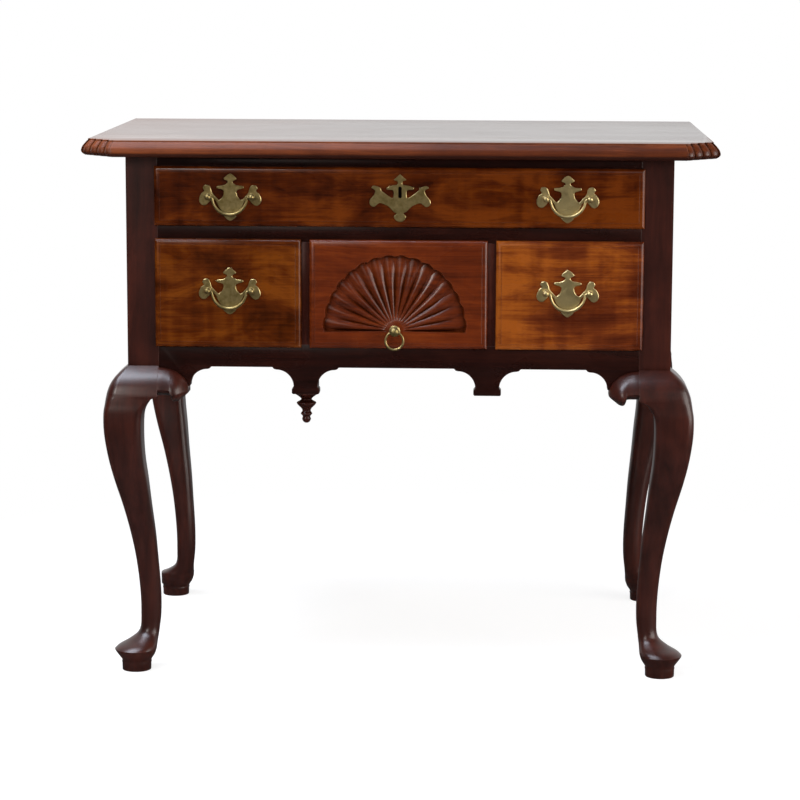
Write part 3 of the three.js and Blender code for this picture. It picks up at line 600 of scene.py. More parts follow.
def resawn(name, node, width=arris, segments=2):
    """A copy of a CAD node's boards with merged faces and eased edges."""
    mesh = cad_nodes[node].data.copy()
    made = bmesh.new()
    made.from_mesh(mesh)
    bmesh.ops.remove_doubles(made, verts=made.verts, dist=merge_distance)
    bmesh.ops.dissolve_limit(made, angle_limit=radians(1), verts=made.verts, edges=made.edges)
    made.to_mesh(mesh)
    made.free()
    return eased(in_scene(name, mesh), width, segments)


for node, name, wood in (("top_rail", "upper_rail", case_wood), ("middle_rail", "drawer_rail", case_wood),
        ("divider_left", "left_upright", upright_wood), ("divider_right", "right_upright", upright_wood)):
    fitted(resawn(name, node), "case", "case_wood", wood, node)

# Back board and drawer runners.
# Plain pale secondary wood, left unvarnished and darkened by age; the back is nailed to the
# posts and the runners carry the drawers.


def bare_wood(name, grain, shift, dark, light):
    """Secondary wood without varnish: soft grain lines, plane marks, dirt, greyed patches and painted shade in
    hollows.
    """
    material, tree, shader = new_material(name)
    vector = grain_coordinates(tree, grain, shift)
    grained = effect(grain_group, vector, Streaks=0.7, Blotches=0.35, Ribbon=0.0, Fineness=0.8)
    colour = blend_colours(remap(grained["Figure"], 0.25, 0.75), srgb(*dark), srgb(*light))
    stains = remap(noise(stretched(vector, 5.0, 9.0), 1.0, 5.0), 0.5, 0.72)
    colour = over(colour, stains, 0.55, [part * 0.55 for part in dark])
    # Grime and painted shade darken the hollows and joins.
    colour = over(colour, effect(grime_and_shade_group, vector, Reach=0.012)[0], 0.6, [part * 0.4 for part in dark])
    planed = noise(stretched(vector, 60.0, 4.0), 1.0, 2.0)
    link_inputs(shader, {
        "Base Color": colour,
        "Roughness": remap(grained["Figure"], 0.2, 0.8, 0.78, 0.62),
        "Specular IOR Level": 0.25,
        "Normal": bump(plus(grained["Height"], planed), 0.4, 0.0004),
    })
    return material


back_wood = bare_wood("aged_back_boards", "x", (0.0, 0.1, 0.4), (104, 70, 42), (156, 114, 74))
runner_wood = bare_wood("aged_runners", "y", (0.2, 0.6, 0.0), (96, 66, 42), (150, 112, 74))
fitted(resawn("nailed_back", "back_board", 0.001), "case", "secondary_wood", back_wood, "back_board")
for place in ("top_runner", "lower_runner_outer", "lower_runner_inner"):
    for side in ("left", "right"):
        fitted(resawn(f"{place}_strip_{side}", f"{place}_{side}", 0.001), "case", "secondary_wood", runner_wood,
            f"{place}_{side}")

# Top board.
# Two wide boards glued edge to edge, polished more than the case and bleached at the arris;
# the front and side edges are moulded and the canted front corners are carved in four lobes.
top_low, top_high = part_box("top_board")
cant_leg = 0.047
cant_start = top_high.x - top_low.y - cant_leg
# Its lean lightens the figure towards the left end: painted light, standing for the light that falls from the
# left.
top_wood = varnished_wood("polished_top_mahogany", "x", (0.3, 0.8, 0.1), (54, 20, 7), (78, 33, 11),
    (110, 52, 20), figure=(0.45, 0.4, 0.1), polish=0.16, gloss=1.0,
    worn=(170, 104, 72), wear=0.4, film=0.14, glint=0.1, lean=(0.0, -0.45, 0.25))
tree = top_wood.node_tree
shader = tree.nodes["Principled BSDF"]
upward = axes(add_node(tree, "ShaderNodeNewGeometry").outputs["Normal"])[2]
level = remap(upward, 0.75, 0.98)
dull = remap(level, 0.0, 1.0, 0.4, 0.14)
# The carved corners are painted darker, and faces that look down under the edge are darkened with painted shade
place = axes(coordinates(tree))
outward = less(maths("ABSOLUTE", place[0]), place[1])
carved = times(remap(outward, cant_start - 0.004, cant_start), less(1.0, level))
dark_carving_and_shaded_underside = maths("MAXIMUM", times(carved, 0.62), times(remap(upward, 0.0, -0.5), 0.8))
plain, coat = [shader.inputs[label].links[0].from_socket for label in ("Base Color", "Coat Weight")]
link_inputs(shader, {
    "Base Color": blend_colours(dark_carving_and_shaded_underside, plain, srgb(40, 18, 14)),
    "Roughness": dull,
    "Coat Roughness": less(dull, times(carved, 0.18)),
    "Coat Weight": times(coat, plus(remap(level, 0.0, 1.0, 0.1, 1.0), times(carved, 0.8))),
})
moulding_depth = 0.012
lobe_count = 4
lobe_steps = 12
lobe_depth = 0.005
lobe_fullness = 0.65
# Shares of the board's thickness, of the moulding's depth and of the carving's depth
edge_shares = [
    (0, 0.5, 0.5), (0.05, 0.32, 0.8), (0.13, 0.12, 0.95), (0.24, 0, 1), (0.37, 0.02, 1), (0.54, 0.15, 1),
    (0.71, 0.4, 1), (0.87, 0.68, 1),
]
edge_rows = smoothed(edge_shares, 4) + [(0.905, 0.78, 0.9), (0.985, 0.8, 0.8), (1, 0.86, 0.75)]


def top_ring(rise, inset_share, carve_share):
    inset = inset_share * moulding_depth
    height = top_low.z + rise * (top_high.z - top_low.z)
    slide = inset * tan(pi / 8)
    start = (top_high.x - cant_leg - slide, top_low.y + inset)
    end = (top_high.x - inset, top_low.y + cant_leg + slide)
    right = []
    steps = lobe_count * lobe_steps
    for step in range(steps + 1):
        share = step / steps
        notch = 1 - abs(sin(pi * lobe_count * share)) ** lobe_fullness
        inward = 0.0 if step in (0, steps) else notch * carve_share * lobe_depth * sqrt(0.5)
        right.append((start[0] + (end[0] - start[0]) * share - inward,
            start[1] + (end[1] - start[1]) * share + inward))
    right.append((top_high.x - inset, top_high.y))
    return [(across, back, height) for across, back in right + [(-a, b) for a, b in reversed(right)]]


fitted(eased(loft_piece("moulded_top", [top_ring(*row) for row in edge_rows], 38), 0.0004, 1, 60),
    "case", "top_wood", top_wood, "top_board")

# Drawers.
# Dovetailed boxes of pale secondary wood behind mahogany fronts, whose lipped edges are worked
# to a thumbnail moulding and cover the joint with the case; the middle front is carved.
rail_low, rail_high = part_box("middle_rail")
opening_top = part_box("top_rail")[0].z
divider_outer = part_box("divider_right")[1].x
divider_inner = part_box("divider_right")[0].x
drawer_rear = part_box("drawer_top_bottom")[1].y
face_proud = 0.007
lip_reach = 0.004
front_depth = 0.02
run_gap = 0.0003
side_clearance = 0.001
head_clearance = 0.0012
side_thickness = 0.01
side_top_clearance = 0.003
board_overlap = 0.0005
face_y = case_front - face_proud
front_rear = face_y + front_depth
lip_back = case_front - run_gap
# The lip from back to face: shares of its depth and of its reach over the opening
lip_rows = [(0, 0.97), (0.03, 1), (0.12, 1)] + arc((0.12, 0.03), (0.8, 0.97), pi / 2, 0, 12)[1:]
lip_rows += [(0.985, 0.01), (1, -0.01)]
lock_low, lock_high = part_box("lock_case")


def ring_walls(made, rings):
    """Faces between each two neighbouring rings of corners."""
    for near, far in zip(rings, rings[1:]):
        for place in range(len(near)):
            other = (place + 1) % len(near)
            made.faces.new((near[place], near[other], far[other], far[place]))


def loop_edges(made, loop):
    pairs = [(loop[place], loop[(place + 1) % len(loop)]) for place in range(len(loop))]
    return [made.edges.get(pair) or made.edges.new(pair) for pair in pairs]


def lipped_front(name, low_x, high_x, low_z, high_z, hollow=None, notch=None):
    """A drawer front: its moulded lip and face, the thinner board behind, and any hollow in the face."""
    made = bmesh.new()
    rings = []
    for forward, share in lip_rows:
        reach = lip_reach * (share * 2 - 1)
        y = lip_back + (face_y - lip_back) * forward
        rings.append([made.verts.new(point) for point in (
            (low_x - reach, y, low_z - reach), (high_x + reach, y, low_z - reach),
            (high_x + reach, y, high_z + reach), (low_x - reach, y, high_z + reach))])
    ring_walls(made, rings)
    made.faces.new(rings[0][::-1])
    if hollow:
        edge, inner_points, inner_faces = hollow
        loop = [made.verts.new(point) for point in edge]
        bmesh.ops.triangle_fill(made, edges=loop_edges(made, loop) + loop_edges(made, rings[-1]), use_beauty=True)
        inner = [made.verts.new(point) for point in inner_points]
        for face in inner_faces:
            made.faces.new([inner[place] for place in face])
    else:
        made.faces.new(rings[-1])
    low, high = low_x + side_clearance, high_x - side_clearance
    base, head = low_z + run_gap, high_z - head_clearance
    outline = [(low, base), (high, base), (high, head)]
    if notch:
        outline += [(notch[1], head), (notch[1], notch[2]), (notch[0], notch[2]), (notch[0], head)]
    outline.append((low, head))
    board = [made.verts.new(point) for point in board_points(outline, lip_back - board_overlap, front_rear)]
    for face in board_faces(len(outline)):
        made.faces.new([board[place] for place in face])
    bmesh.ops.remove_doubles(made, verts=made.verts, dist=merge_distance)
    return bmesh_piece(name, made, 28)


# Keyhole in the top drawer's front, behind its brass plate
escutcheon_x = 0.002
opening_middle = (rail_high.z + opening_top) / 2
escutcheon_drop = 0.00065
escutcheon_z = opening_middle - escutcheon_drop
keyhole_rise = 0.0082
keyhole_z = escutcheon_z + keyhole_rise
keyhole_half = 0.0025
keyhole_length = 0.0165
keyhole_depth = 0.006
keyhole_edge = []
for quarter, up in ((0, 1), (1, -1)):
    keyhole_edge += arc((escutcheon_x, keyhole_z + up * (keyhole_length / 2 - keyhole_half)),
        (keyhole_half, keyhole_half), pi * quarter, pi * (quarter + 1), 8)
edge = [(x, face_y, z) for x, z in keyhole_edge]
bottom = [(x, face_y + keyhole_depth, z) for x, z in keyhole_edge]
count = len(edge)
walls = [(place, (place + 1) % count, count + (place + 1) % count, count + place) for place in range(count)]
keyhole_hollow = (edge, edge + bottom, walls + [tuple(range(count, count * 2))])

# Fan in the middle drawer's front: sixteen rounded rays that sink towards a scalloped rim
fan_x = -0.005
fan_z = opening_low + 0.0214
fan_half_width = 0.0995
fan_height = 0.1052
fan_depth = 0.0075
fan_ridge_depth = 0.0062
fan_hub_depth = 0.0016
fan_scallop = 0.0026
fan_rays = 16
fan_steps = 10
fan_hub = 0.12
fan_shares = [
    fan_hub, 0.135, 0.16, 0.2, 0.26, 0.34, 0.42, 0.5, 0.58, 0.66, 0.74, 0.82, 0.87, 0.91, 0.94, 0.96, 0.975, 1.0,
]
fan_skirt = 0.02
fan_scallop_rate = 1.2
fan_ray_fullness = 0.9
fan_dome_start = 0.45
fan_dome_power = 1.7
fan_crown_share = 0.06
fan_groove_power = 0.8
fan_edge_share = 0.06


def fan_point(share, turn, depth):
    ray = abs(sin(fan_rays * turn))
    stretch = share * (1 + fan_scallop / fan_height * ray * min(1.0, share ** 4 * fan_scallop_rate))
    across, up = fan_half_width * stretch * cos(turn), fan_height * stretch * sin(turn)
    return (fan_x + across, face_y + depth, fan_z + up)


def fan_depth_at(share, turn):
    """The carving's depth: each ray's crown stays high and dips near the rim, the grooves sink all the way."""
    ray = abs(sin(fan_rays * turn)) ** fan_ray_fullness
    open_share = (share - fan_hub) / (1 - fan_hub)
    dome = max(0.0, (open_share - fan_dome_start) / (1 - fan_dome_start)) ** fan_dome_power
    sunk = fan_crown_share * open_share + (1 - fan_crown_share) * dome
    crown = fan_hub_depth * (1 - open_share) + fan_ridge_depth * sunk
    groove = fan_hub_depth + (fan_depth - fan_hub_depth) * open_share ** fan_groove_power
    return (groove + (crown - groove) * ray) * min(1.0, open_share / fan_edge_share)


turns = [-fan_skirt] + [pi * step / (fan_rays * fan_steps) for step in range(fan_rays * fan_steps + 1)]
turns.append(pi + fan_skirt)
inner_points, inner_faces, rows = [], [], []
for share in fan_shares:
    row = []
    for place, turn in enumerate(turns):
        flush = share in (fan_shares[0], fan_shares[-1]) or place in (0, len(turns) - 1)
        held = min(max(turn, 0.0), pi)
        depth = 0.0 if flush else fan_depth_at(share, held)
        row.append(len(inner_points))
        inner_points.append(fan_point(share, turn, depth))
    rows.append(row)
for near, far in zip(rows, rows[1:]):
    for place in range(len(turns) - 1):
        inner_faces.append((near[place], near[place + 1], far[place + 1], far[place]))
fan_edge = ([inner_points[place] for place in rows[-1]] + [inner_points[row[-1]] for row in rows[-2::-1]]
    + [inner_points[place] for place in rows[0][-2::-1]] + [inner_points[row[0]] for row in rows[1:-1]])
fan_hollow = (fan_edge, inner_points, inner_faces)

front_finish = {"gloss": 0.5, "film": 0.18, "glint": 0.05, "wear": 0.2}
front_woods = {
    # The top front's lean lightens it towards the right: painted light, standing for the light from the right.
    "top": varnished_wood("top_drawer_mahogany", "x", (0.15, 0.35, 0.2), (44, 12, 1), (70, 25, 2), (100, 44, 5),
        figure=(0.3, 1.3, 0.35), worn=(140, 92, 72), **front_finish, lean=(-0.2, 0.3, 0.12)),
    "left": varnished_wood("left_drawer_mahogany", "x", (0.55, 0.1, 0.6), (50, 17, 1), (78, 31, 3), (108, 53, 8),
        figure=(0.35, 1.2, 0.35), worn=(140, 92, 72), **front_finish),
    "centre": varnished_wood("fan_drawer_mahogany", "x", (0.25, 0.7, 0.9), (60, 18, 2), (92, 33, 4), (118, 49, 8),
        figure=(0.5, 0.6, 0.1), gloss=1.0, film=0.24, worn=(150, 92, 76), wear=0.2, glint=0.05),
    "right": varnished_wood("right_drawer_mahogany", "x", (0.8, 0.3, 0.4), (66, 24, 8), (96, 41, 13),
        (140, 72, 20), figure=(0.6, 0.8, 0.3), worn=(150, 92, 76), **front_finish, lean=(0.22, 0.14, 0.16)),
}
box_wood = bare_wood("aged_drawer_sides", "y", (0.5, 0.2, 0.3), (118, 84, 54), (172, 134, 92))
bottom_wood = bare_wood("aged_drawer_bottoms", "x", (0.9, 0.2, 0.7), (112, 80, 52), (164, 126, 86))

# Dovetail pins that come through the sides at the rear corners
pin_tree, given, made = node_group("dovetail_pins", "GeometryNodeTree", [
    ("First", "Vector"), ("Rise", "Vector"), ("Count", "Int"), ("Size", "Vector"), ("Flare", "Float"),
    ("Wood", "Material"),
], [("Geometry", "Geometry")])
line = add_node(pin_tree, "GeometryNodeMeshLine", {
    "Count": given["Count"], "Start Location": given["First"], "Offset": given["Rise"]})
block = add_node(pin_tree, "GeometryNodeMeshCube", {"Size": given["Size"]})
parts = axes(add_node(pin_tree, "GeometryNodeInputPosition").outputs[0])
flare = times(maths("DIVIDE", parts[1], axes(given["Size"])[1]), given["Flare"])
spread = add_node(pin_tree, "ShaderNodeCombineXYZ", {
    0: parts[0], 1: parts[1], 2: times(parts[2], plus(flare, 1.0))})
wedge = add_node(pin_tree, "GeometryNodeSetPosition", {"Geometry": block, "Position": spread})
copies = add_node(pin_tree, "GeometryNodeInstanceOnPoints", {"Points": line, "Instance": wedge})


def put_out(tree, geometry, material, made):
    """The end of a geometry tree: its instances made real and given their material."""
    real = add_node(tree, "GeometryNodeRealizeInstances", {0: geometry})
    painted = add_node(tree, "GeometryNodeSetMaterial", {"Geometry": real, "Material": material})
    link_inputs(made, {0: painted})


put_out(pin_tree, copies, given["Wood"], made)


def grown(name, tree, settings_list, start=None):
    """One mesh piece from a node tree run once for each set of its named inputs."""
    whole = bmesh.new()
    for settings in settings_list:
        carrier = in_scene(name, start or bpy.data.meshes.new(name))
        modifier = carrier.modifiers.new("grown", "NODES")
        modifier.node_group = tree
        for item in tree.interface.items_tree:
            if item.in_out == "INPUT" and item.name in settings:
                modifier[item.identifier] = settings[item.name]
        mesh = evaluated(carrier)
        whole.from_mesh(mesh)
        bpy.data.objects.remove(carrier)
        bpy.data.meshes.remove(mesh)
    return bmesh_piece(name, whole)


tail_lap = 0.012
tail_flare = 0.0018
tail_proud = 0.00025
pin_proud = 0.0002
tail_half = 0.3
pin_share = 0.34
pin_flare = -0.35
drawers = (
    ("top", -post_inner_x, post_inner_x, rail_high.z, opening_top, 2,
        keyhole_hollow, (lock_low.x - run_gap, lock_high.x + run_gap, lock_low.z - run_gap)),
    ("left", -post_inner_x, -divider_outer, opening_low, rail_low.z, 4, None, None),
    ("centre", -divider_inner, divider_inner, opening_low, rail_low.z, 4, fan_hollow, None),
    ("right", divider_outer, post_inner_x, opening_low, rail_low.z, 4, None, None),
)
for name, low_x, high_x, low_z, high_z, tails, hollow, notch in drawers:
    body = f"drawer_{name}"
    front = lipped_front(f"lipped_front_{name}", low_x, high_x, low_z, high_z, hollow, notch)
    fitted(front, body, "drawer_wood", front_woods[name], f"{body}_front")
    base, head = low_z + run_gap, high_z - side_top_clearance
    pitch = (head - base) / tails
    outline = [(drawer_rear, base), (front_rear, base)]
    for tail in range(tails):
        middle = base + pitch * (tail + 0.5)
        low, high = middle - pitch * tail_half, middle + pitch * tail_half
        outline += [(front_rear, low), (front_rear - tail_lap, low - tail_flare),
            (front_rear - tail_lap, high + tail_flare), (front_rear, high)]
    outline += [(front_rear, head), (drawer_rear, head)]
    pins = []
    for side, sign, outer in (("left", 1, low_x + side_clearance), ("right", -1, high_x - side_clearance)):
        low, high = sorted((outer - sign * tail_proud, outer + sign * side_thickness))
        piece = shaped(f"dovetailed_side_{name}_{side}", board_points(outline, low, high, True),
            board_faces(len(outline)))
        fitted(eased(piece, 0.0003, 1), body, "secondary_wood", box_wood, f"{body}_side_{side}")
        pins.append({
            "First": ((low + high) / 2, drawer_rear - side_thickness / 2 - pin_proud, base + pitch * 0.5),
            "Rise": (0.0, 0.0, pitch), "Count": tails,
            "Size": (high - low + pin_proud * 2, side_thickness, pitch * pin_share),
            "Flare": pin_flare, "Wood": bottom_wood,
        })
    fitted(grown(f"rear_pins_{name}", pin_tree, pins), body, "secondary_wood", bottom_wood)
    for part in ("back", "bottom"):
        fitted(resawn(f"drawer_{part}_board_{name}", f"{body}_{part}", 0.0006), body, "secondary_wood",
            bottom_wood, f"{body}_{part}")

# Brass pulls and keyhole plate.
# Cast bat-wing plates with filed bevels, each held by two posts whose shanks pass through the
# drawer front; a bail cast thicker in the middle swings in the posts' eyes.
brass, tree, shader = new_material("aged_cast_brass")
vector = coordinates(tree)
patches = noise(vector, 95.0, 5.0, 0.6)
colour = blend_colours(remap(patches, 0.36, 0.66), srgb(190, 170, 116), srgb(132, 116, 72))
# The pulls on the right are painted paler: painted light, standing for the stronger light on that side.
colour = blend_colours(remap(axes(vector)[0], 0.05, 0.22, 0.0, 0.6), colour, srgb(232, 212, 154))
colour = over(colour, effect(wear_group, vector, Radius=0.0007, Patchiness=0.4)[0], 0.7, (214, 196, 142))
grime_and_shade = effect(grime_and_shade_group, vector, Reach=0.004)[0]
link_inputs(shader, {
    "Base Color": over(colour, grime_and_shade, 0.85, (44, 34, 18)),
    "Metallic": remap(grime_and_shade, 0.0, 1.0, 0.95, 0.5),
    "Roughness": plus(remap(patches, 0.3, 0.7, 0.32, 0.52), times(grime_and_shade, 0.25)),
    "Normal": bump(plus(noise(vector, 320.0, 4.0), noise(vector, 60.0, 2.0)), 0.3, 0.0002),
})

plate_half_width = 0.043
plate_half_height = 0.033
plate_thickness = 0.0016
plate_bevel = 0.0007
plate_seat = 0.00002
# Right halves of the outlines, as shares of half the width and half the height
pull_shares = [
    (0, 1), (0.1, 0.93), (0.21, 0.77), (0.09, 0.68), (0.1, 0.59), (0.22, 0.5), (0.42, 0.47), (0.43, 0.38),
    (0.26, 0.32), (0.2, 0.22), (0.24, 0.03), (0.36, -0.12), (0.48, 0.02), (0.59, 0.18), (0.63, 0.36),
    (0.7, 0.5), (0.83, 0.5), (0.89, 0.38), (0.84, 0.26), (0.93, 0.16), (1, -0.02), (1, -0.2), (0.91, -0.34),
    (0.79, -0.34), (0.69, -0.22), (0.58, -0.08), (0.46, -0.18), (0.41, -0.32), (0.34, -0.5), (0.22, -0.66),
    (0.11, -0.74), (0.2, -0.81), (0.1, -0.94),
]
keyplate_shares = [
    (0, 1), (0.09, 0.9), (0.2, 0.77), (0.09, 0.71), (0.083, 0.58), (0.23, 0.54), (0.42, 0.46), (0.42, 0.36),
    (0.23, 0.33), (0.21, 0.12), (0.25, 0), (0.48, 0.19), (0.6, 0.31), (0.65, 0.44), (0.83, 0.52),
    (0.93, 0.44), (0.8, 0.31), (0.86, 0.1), (0.98, -0.1), (0.97, -0.29), (0.85, -0.37), (0.75, -0.29),
    (0.65, -0.21), (0.43, -0.31), (0.32, -0.42), (0.2, -0.58), (0.11, -0.65), (0.2, -0.78), (0.12, -0.95),
]


def plate_mesh(made, shares, centre_x, centre_z, holes=()):
    """A bevelled brass plate lying on the drawer's face, with holes through it."""
    half = [(across * plate_half_width, up * plate_half_height) for across, up in shares]
    outline = [(-x, z) for x, z in half[:0:-1]] + half + [(0.0, -plate_half_height)]
    outline = [(centre_x + x, centre_z + z) for x, z in smoothed(outline, 3, True)]
    count = len(outline)
    inner = []
    for place in range(count):
        (ax, az), (bx, bz) = outline[place - 1], outline[(place + 1) % count]
        length = hypot(bx - ax, bz - az) or 1.0
        x, z = outline[place]
        inner.append((x + (bz - az) / length * plate_bevel, z - (bx - ax) / length * plate_bevel))
    front, edge = face_y - plate_thickness, face_y - plate_thickness + plate_bevel * 0.8
    rings = [[made.verts.new((x, y, z)) for x, z in ring]
        for ring, y in ((outline, face_y - plate_seat), (outline, edge), (inner, front))]
    ring_walls(made, rings)
    hole_rings = [[[made.verts.new((x, y, z)) for x, z in hole] for y in (face_y - plate_seat, front)]
        for hole in holes]
    for pair in hole_rings:
        ring_walls(made, pair)
    for level, outer in ((0, rings[0]), (1, rings[-1])):
        edges = loop_edges(made, outer)
        for pair in hole_rings:
            edges += loop_edges(made, pair[level])
        bmesh.ops.triangle_fill(made, edges=edges, use_beauty=True)


made = bmesh.new()
plate_mesh(made, keyplate_shares, escutcheon_x, escutcheon_z, [keyhole_edge])
fitted(bmesh_piece("keyhole_plate", made), "drawer_top", "brass", brass, "escutcheon")

post_spacing = 0.061
post_rise = 0.0008
head_radius = 0.0043
post_length = 0.015
pivot_reach = 0.011
pivot_y = face_y - pivot_reach
nut_radius = 0.0055
nut_length = 0.0055
nut_reach = 0.004
nut_shares = [(0, 0), (0.5, 0), (0.55, 0.1), (0.5, 0.3), (1, 0.34), (1, 0.86), (0.9, 1), (0, 1)]
post_shares = [
    (0, 0), (1.05, 0), (1.05, 0.04), (0.6, 0.12), (0.55, 0.24), (0.62, 0.36), (0.9, 0.46), (1.02, 0.58),
    (1.02, 0.72), (0.86, 0.88), (0.5, 0.97), (0, 1),
]
# The bail's line: ends turned outwards into the eyes, then half an ellipse that hangs down
bail_half_width = 0.0242
bail_drop = 0.0245
bail_steps = 32
bail_end_radius = 0.00165
bail_middle_radius = 0.0025
bail_end = post_spacing / 2 + 0.003
# Its points in front of each eye: beyond the bail's half width, and up
bail_bend = [(0.0012, -0.0004), (0.0035, 0.0)]
rod_tree, given, made = node_group("cast_rod", "GeometryNodeTree", [
    ("Line", "Geometry"), ("End Radius", "Float"), ("Middle Radius", "Float"), ("Sides", "Int"),
    ("Metal", "Material"),
], [("Geometry", "Geometry")])
line = add_node(rod_tree, "GeometryNodeMeshToCurve", {"Mesh": given["Line"]})
along = add_node(rod_tree, "GeometryNodeSplineParameter").outputs["Factor"]
swell = maths("POWER", maths("SINE", times(along, pi)), 2.0)
radius = plus(given["End Radius"], times(swell, less(given["Middle Radius"], given["End Radius"])))
section = add_node(rod_tree, "GeometryNodeCurvePrimitiveCircle", {"Resolution": given["Sides"], "Radius": 1.0})
rod = add_node(rod_tree, "GeometryNodeCurveToMesh", {
    "Curve": line, "Profile Curve": section, "Scale": radius, "Fill Caps": True})
put_out(rod_tree, rod, given["Metal"], made)


def line_mesh(points, closed=False):
    mesh = bpy.data.meshes.new("line")
    edges = [(place, place + 1) for place in range(len(points) - 1)]
    mesh.from_pydata(points, edges + ([(len(points) - 1, 0)] if closed else []), [])
    return mesh


pull_drop = 0.00085
pull_z = opening_middle - pull_drop
upper_x = 0.2352
lower_inset = 0.0028
lower_x = (divider_outer + post_inner_x) / 2 - lower_inset
lower_rise = 0.00375
lower_z = (opening_low + rail_low.z) / 2 + lower_rise
pulls = (("top_left", "drawer_top", -upper_x, pull_z), ("top_right", "drawer_top", upper_x, pull_z),
    ("left", "drawer_left", -lower_x, lower_z), ("right", "drawer_right", lower_x, lower_z))
for name, body, centre_x, centre_z in pulls:
    made = bmesh.new()
    plate_mesh(made, pull_shares, centre_x, centre_z)
    for sign in (-1, 1):
        foot = (centre_x + sign * post_spacing / 2, face_y - plate_thickness / 2, centre_z + post_rise)
        post = turned("post", post_shares, foot, "out", head_radius, post_length, 24)
        made.from_mesh(post.data)
        nut = turned("nut", nut_shares, (foot[0], front_rear + nut_reach, foot[2]), "out", nut_radius, nut_length,
            6, 20)
        made.from_mesh(nut.data)
        for spare in (post, nut):
            bpy.data.objects.remove(spare)
    fitted(bmesh_piece(f"bat_wing_plate_{name}", made), body, "brass", brass, f"pull_plate_{name}")
    bend = [(bail_half_width + beyond, rise) for beyond, rise in bail_bend] + [(bail_end, 0.0)]
    points = mirrored(bend)
    points += arc((0, 0), (-bail_half_width, -bail_drop), 0, pi, bail_steps)[1:-1]
    line = line_mesh([(centre_x + x, pivot_y, centre_z + post_rise + z) for x, z in points + bend])
    bail = grown(f"swinging_bail_{name}", rod_tree, [
        {"End Radius": bail_end_radius, "Middle Radius": bail_middle_radius, "Sides": 16, "Metal": brass}], line)
    fitted(bail, f"bail_{name}", "brass", brass, f"bail_{name}")

# Ring pull.
# A turned boss on the fan's hub with a ring that hangs in its eye.
boss_radius = 0.0065
boss_length = 0.016
boss_shares = [
    (0, 0), (1.1, 0), (1.1, 0.05), (0.62, 0.14), (0.55, 0.22), (0.62, 0.3), (0.9, 0.38), (1.02, 0.52),
    (1.0, 0.66), (0.84, 0.84), (0.5, 0.95), (0, 1),
]
boss = turned("turned_boss", boss_shares, (fan_x, face_y, fan_z), "out", boss_radius, boss_length, 32)
fitted(boss, "drawer_centre", "brass", brass, "ring_boss")
ring_radius = 0.0125
ring_forward = 0.0095
ring_steps = 48
ring_circle = arc((fan_x, fan_z - ring_radius), (ring_radius, ring_radius), pi / 2, -pi * 1.5, ring_steps)[:-1]
ring_line = line_mesh([(x, face_y - ring_forward, z) for x, z in ring_circle], True)
ring = grown("hanging_ring", rod_tree, [
    {"End Radius": 0.0015, "Middle Radius": 0.0018, "Sides": 14, "Metal": brass}], ring_line)
fitted(ring, "ring", "brass", brass, "ring")

# Lock.
# A wrought-iron half-mortise lock let into the back of the top drawer's front, its bolt rising
# into the rail; it is dark with old rust.
iron, tree, shader = new_material("rusted_wrought_iron")
vector = coordinates(tree)
rust = remap(noise(vector, 130.0, 6.0, 0.65), 0.46, 0.6)
colour = blend_colours(rust, srgb(70, 66, 64), srgb(96, 56, 34))
link_inputs(shader, {
    "Base Color": over(colour, effect(wear_group, vector, Radius=0.0008)[0], 0.6, (140, 136, 132)),
    "Metallic": remap(rust, 0.0, 1.0, 0.85, 0.1),
    "Roughness": remap(rust, 0.0, 1.0, 0.42, 0.85),
    "Normal": bump(noise(vector, 260.0, 5.0), 0.5, 0.0003),
})
fitted(resawn("iron_lock", "lock_case", 0.0004), "drawer_top", "iron", iron, "lock_case")
fitted(resawn("iron_bolt", "lock_bolt", 0.0004), "lock_bolt", "iron", iron, "lock_bolt")

# Nails in the back board.
# Hand-forged nails with low round heads, driven through the board into the posts.
nail_tree, given, made = node_group("nail_row", "GeometryNodeTree", [
    ("First", "Vector"), ("Step", "Vector"), ("Count", "Int"), ("Head Radius", "Float"), ("Head Rise", "Float"),
    ("Metal", "Material"),
], [("Geometry", "Geometry")])
line = add_node(nail_tree, "GeometryNodeMeshLine", {
    "Count": given["Count"], "Start Location": given["First"], "Offset": given["Step"]})
head = add_node(nail_tree, "GeometryNodeMeshCone", {
    "Vertices": 9, "Side Segments": 1, "Fill Segments": 1, "Radius Top": times(given["Head Radius"], 0.35),
    "Radius Bottom": given["Head Radius"], "Depth": given["Head Rise"]})
copies = add_node(nail_tree, "GeometryNodeInstanceOnPoints", {
    "Points": line, "Instance": head, "Rotation": (-pi / 2, 0.0, 0.0)})
put_out(nail_tree, copies, given["Metal"], made)
nail_inset = 0.014
nail_radius = 0.0045
nail_rise = 0.003
nail_count = 5
nail_step = (rail_top - bay_height - nail_inset * 2) / (nail_count - 1)
rows = [{"First": (sign * (post_inner_x - nail_inset), case_back, bay_height + nail_inset),
    "Step": (0.0, 0.0, nail_step), "Count": nail_count, "Head Radius": nail_radius, "Head Rise": nail_rise,
    "Metal": iron} for sign in (-1, 1)]
fitted(grown("back_nails", nail_tree, rows), "case", "iron", iron)

# Floor, light and camera.
# A pale floor that fades into white and keeps the shadow; a window and a faint glow at the front left,
# a cool softbox overhead, a warm bounce and a weak fill on the right; the camera of the photograph.
floor_radius = 1.25
floor_sides = 96
floor_rim = arc((0, 0), (floor_radius, floor_radius), 0, 2 * pi, floor_sides)[:-1]
floor = shaped("pale_floor", [(x, y, 0) for x, y in floor_rim], [tuple(range(floor_sides))])
floor_paint, tree, shader = new_material("pale_floor_paint")
tree.nodes.remove(shader)


def mixed(share, first, second):
    return add_node(share.id_data, "ShaderNodeMixShader", {0: share, 1: first, 2: second})


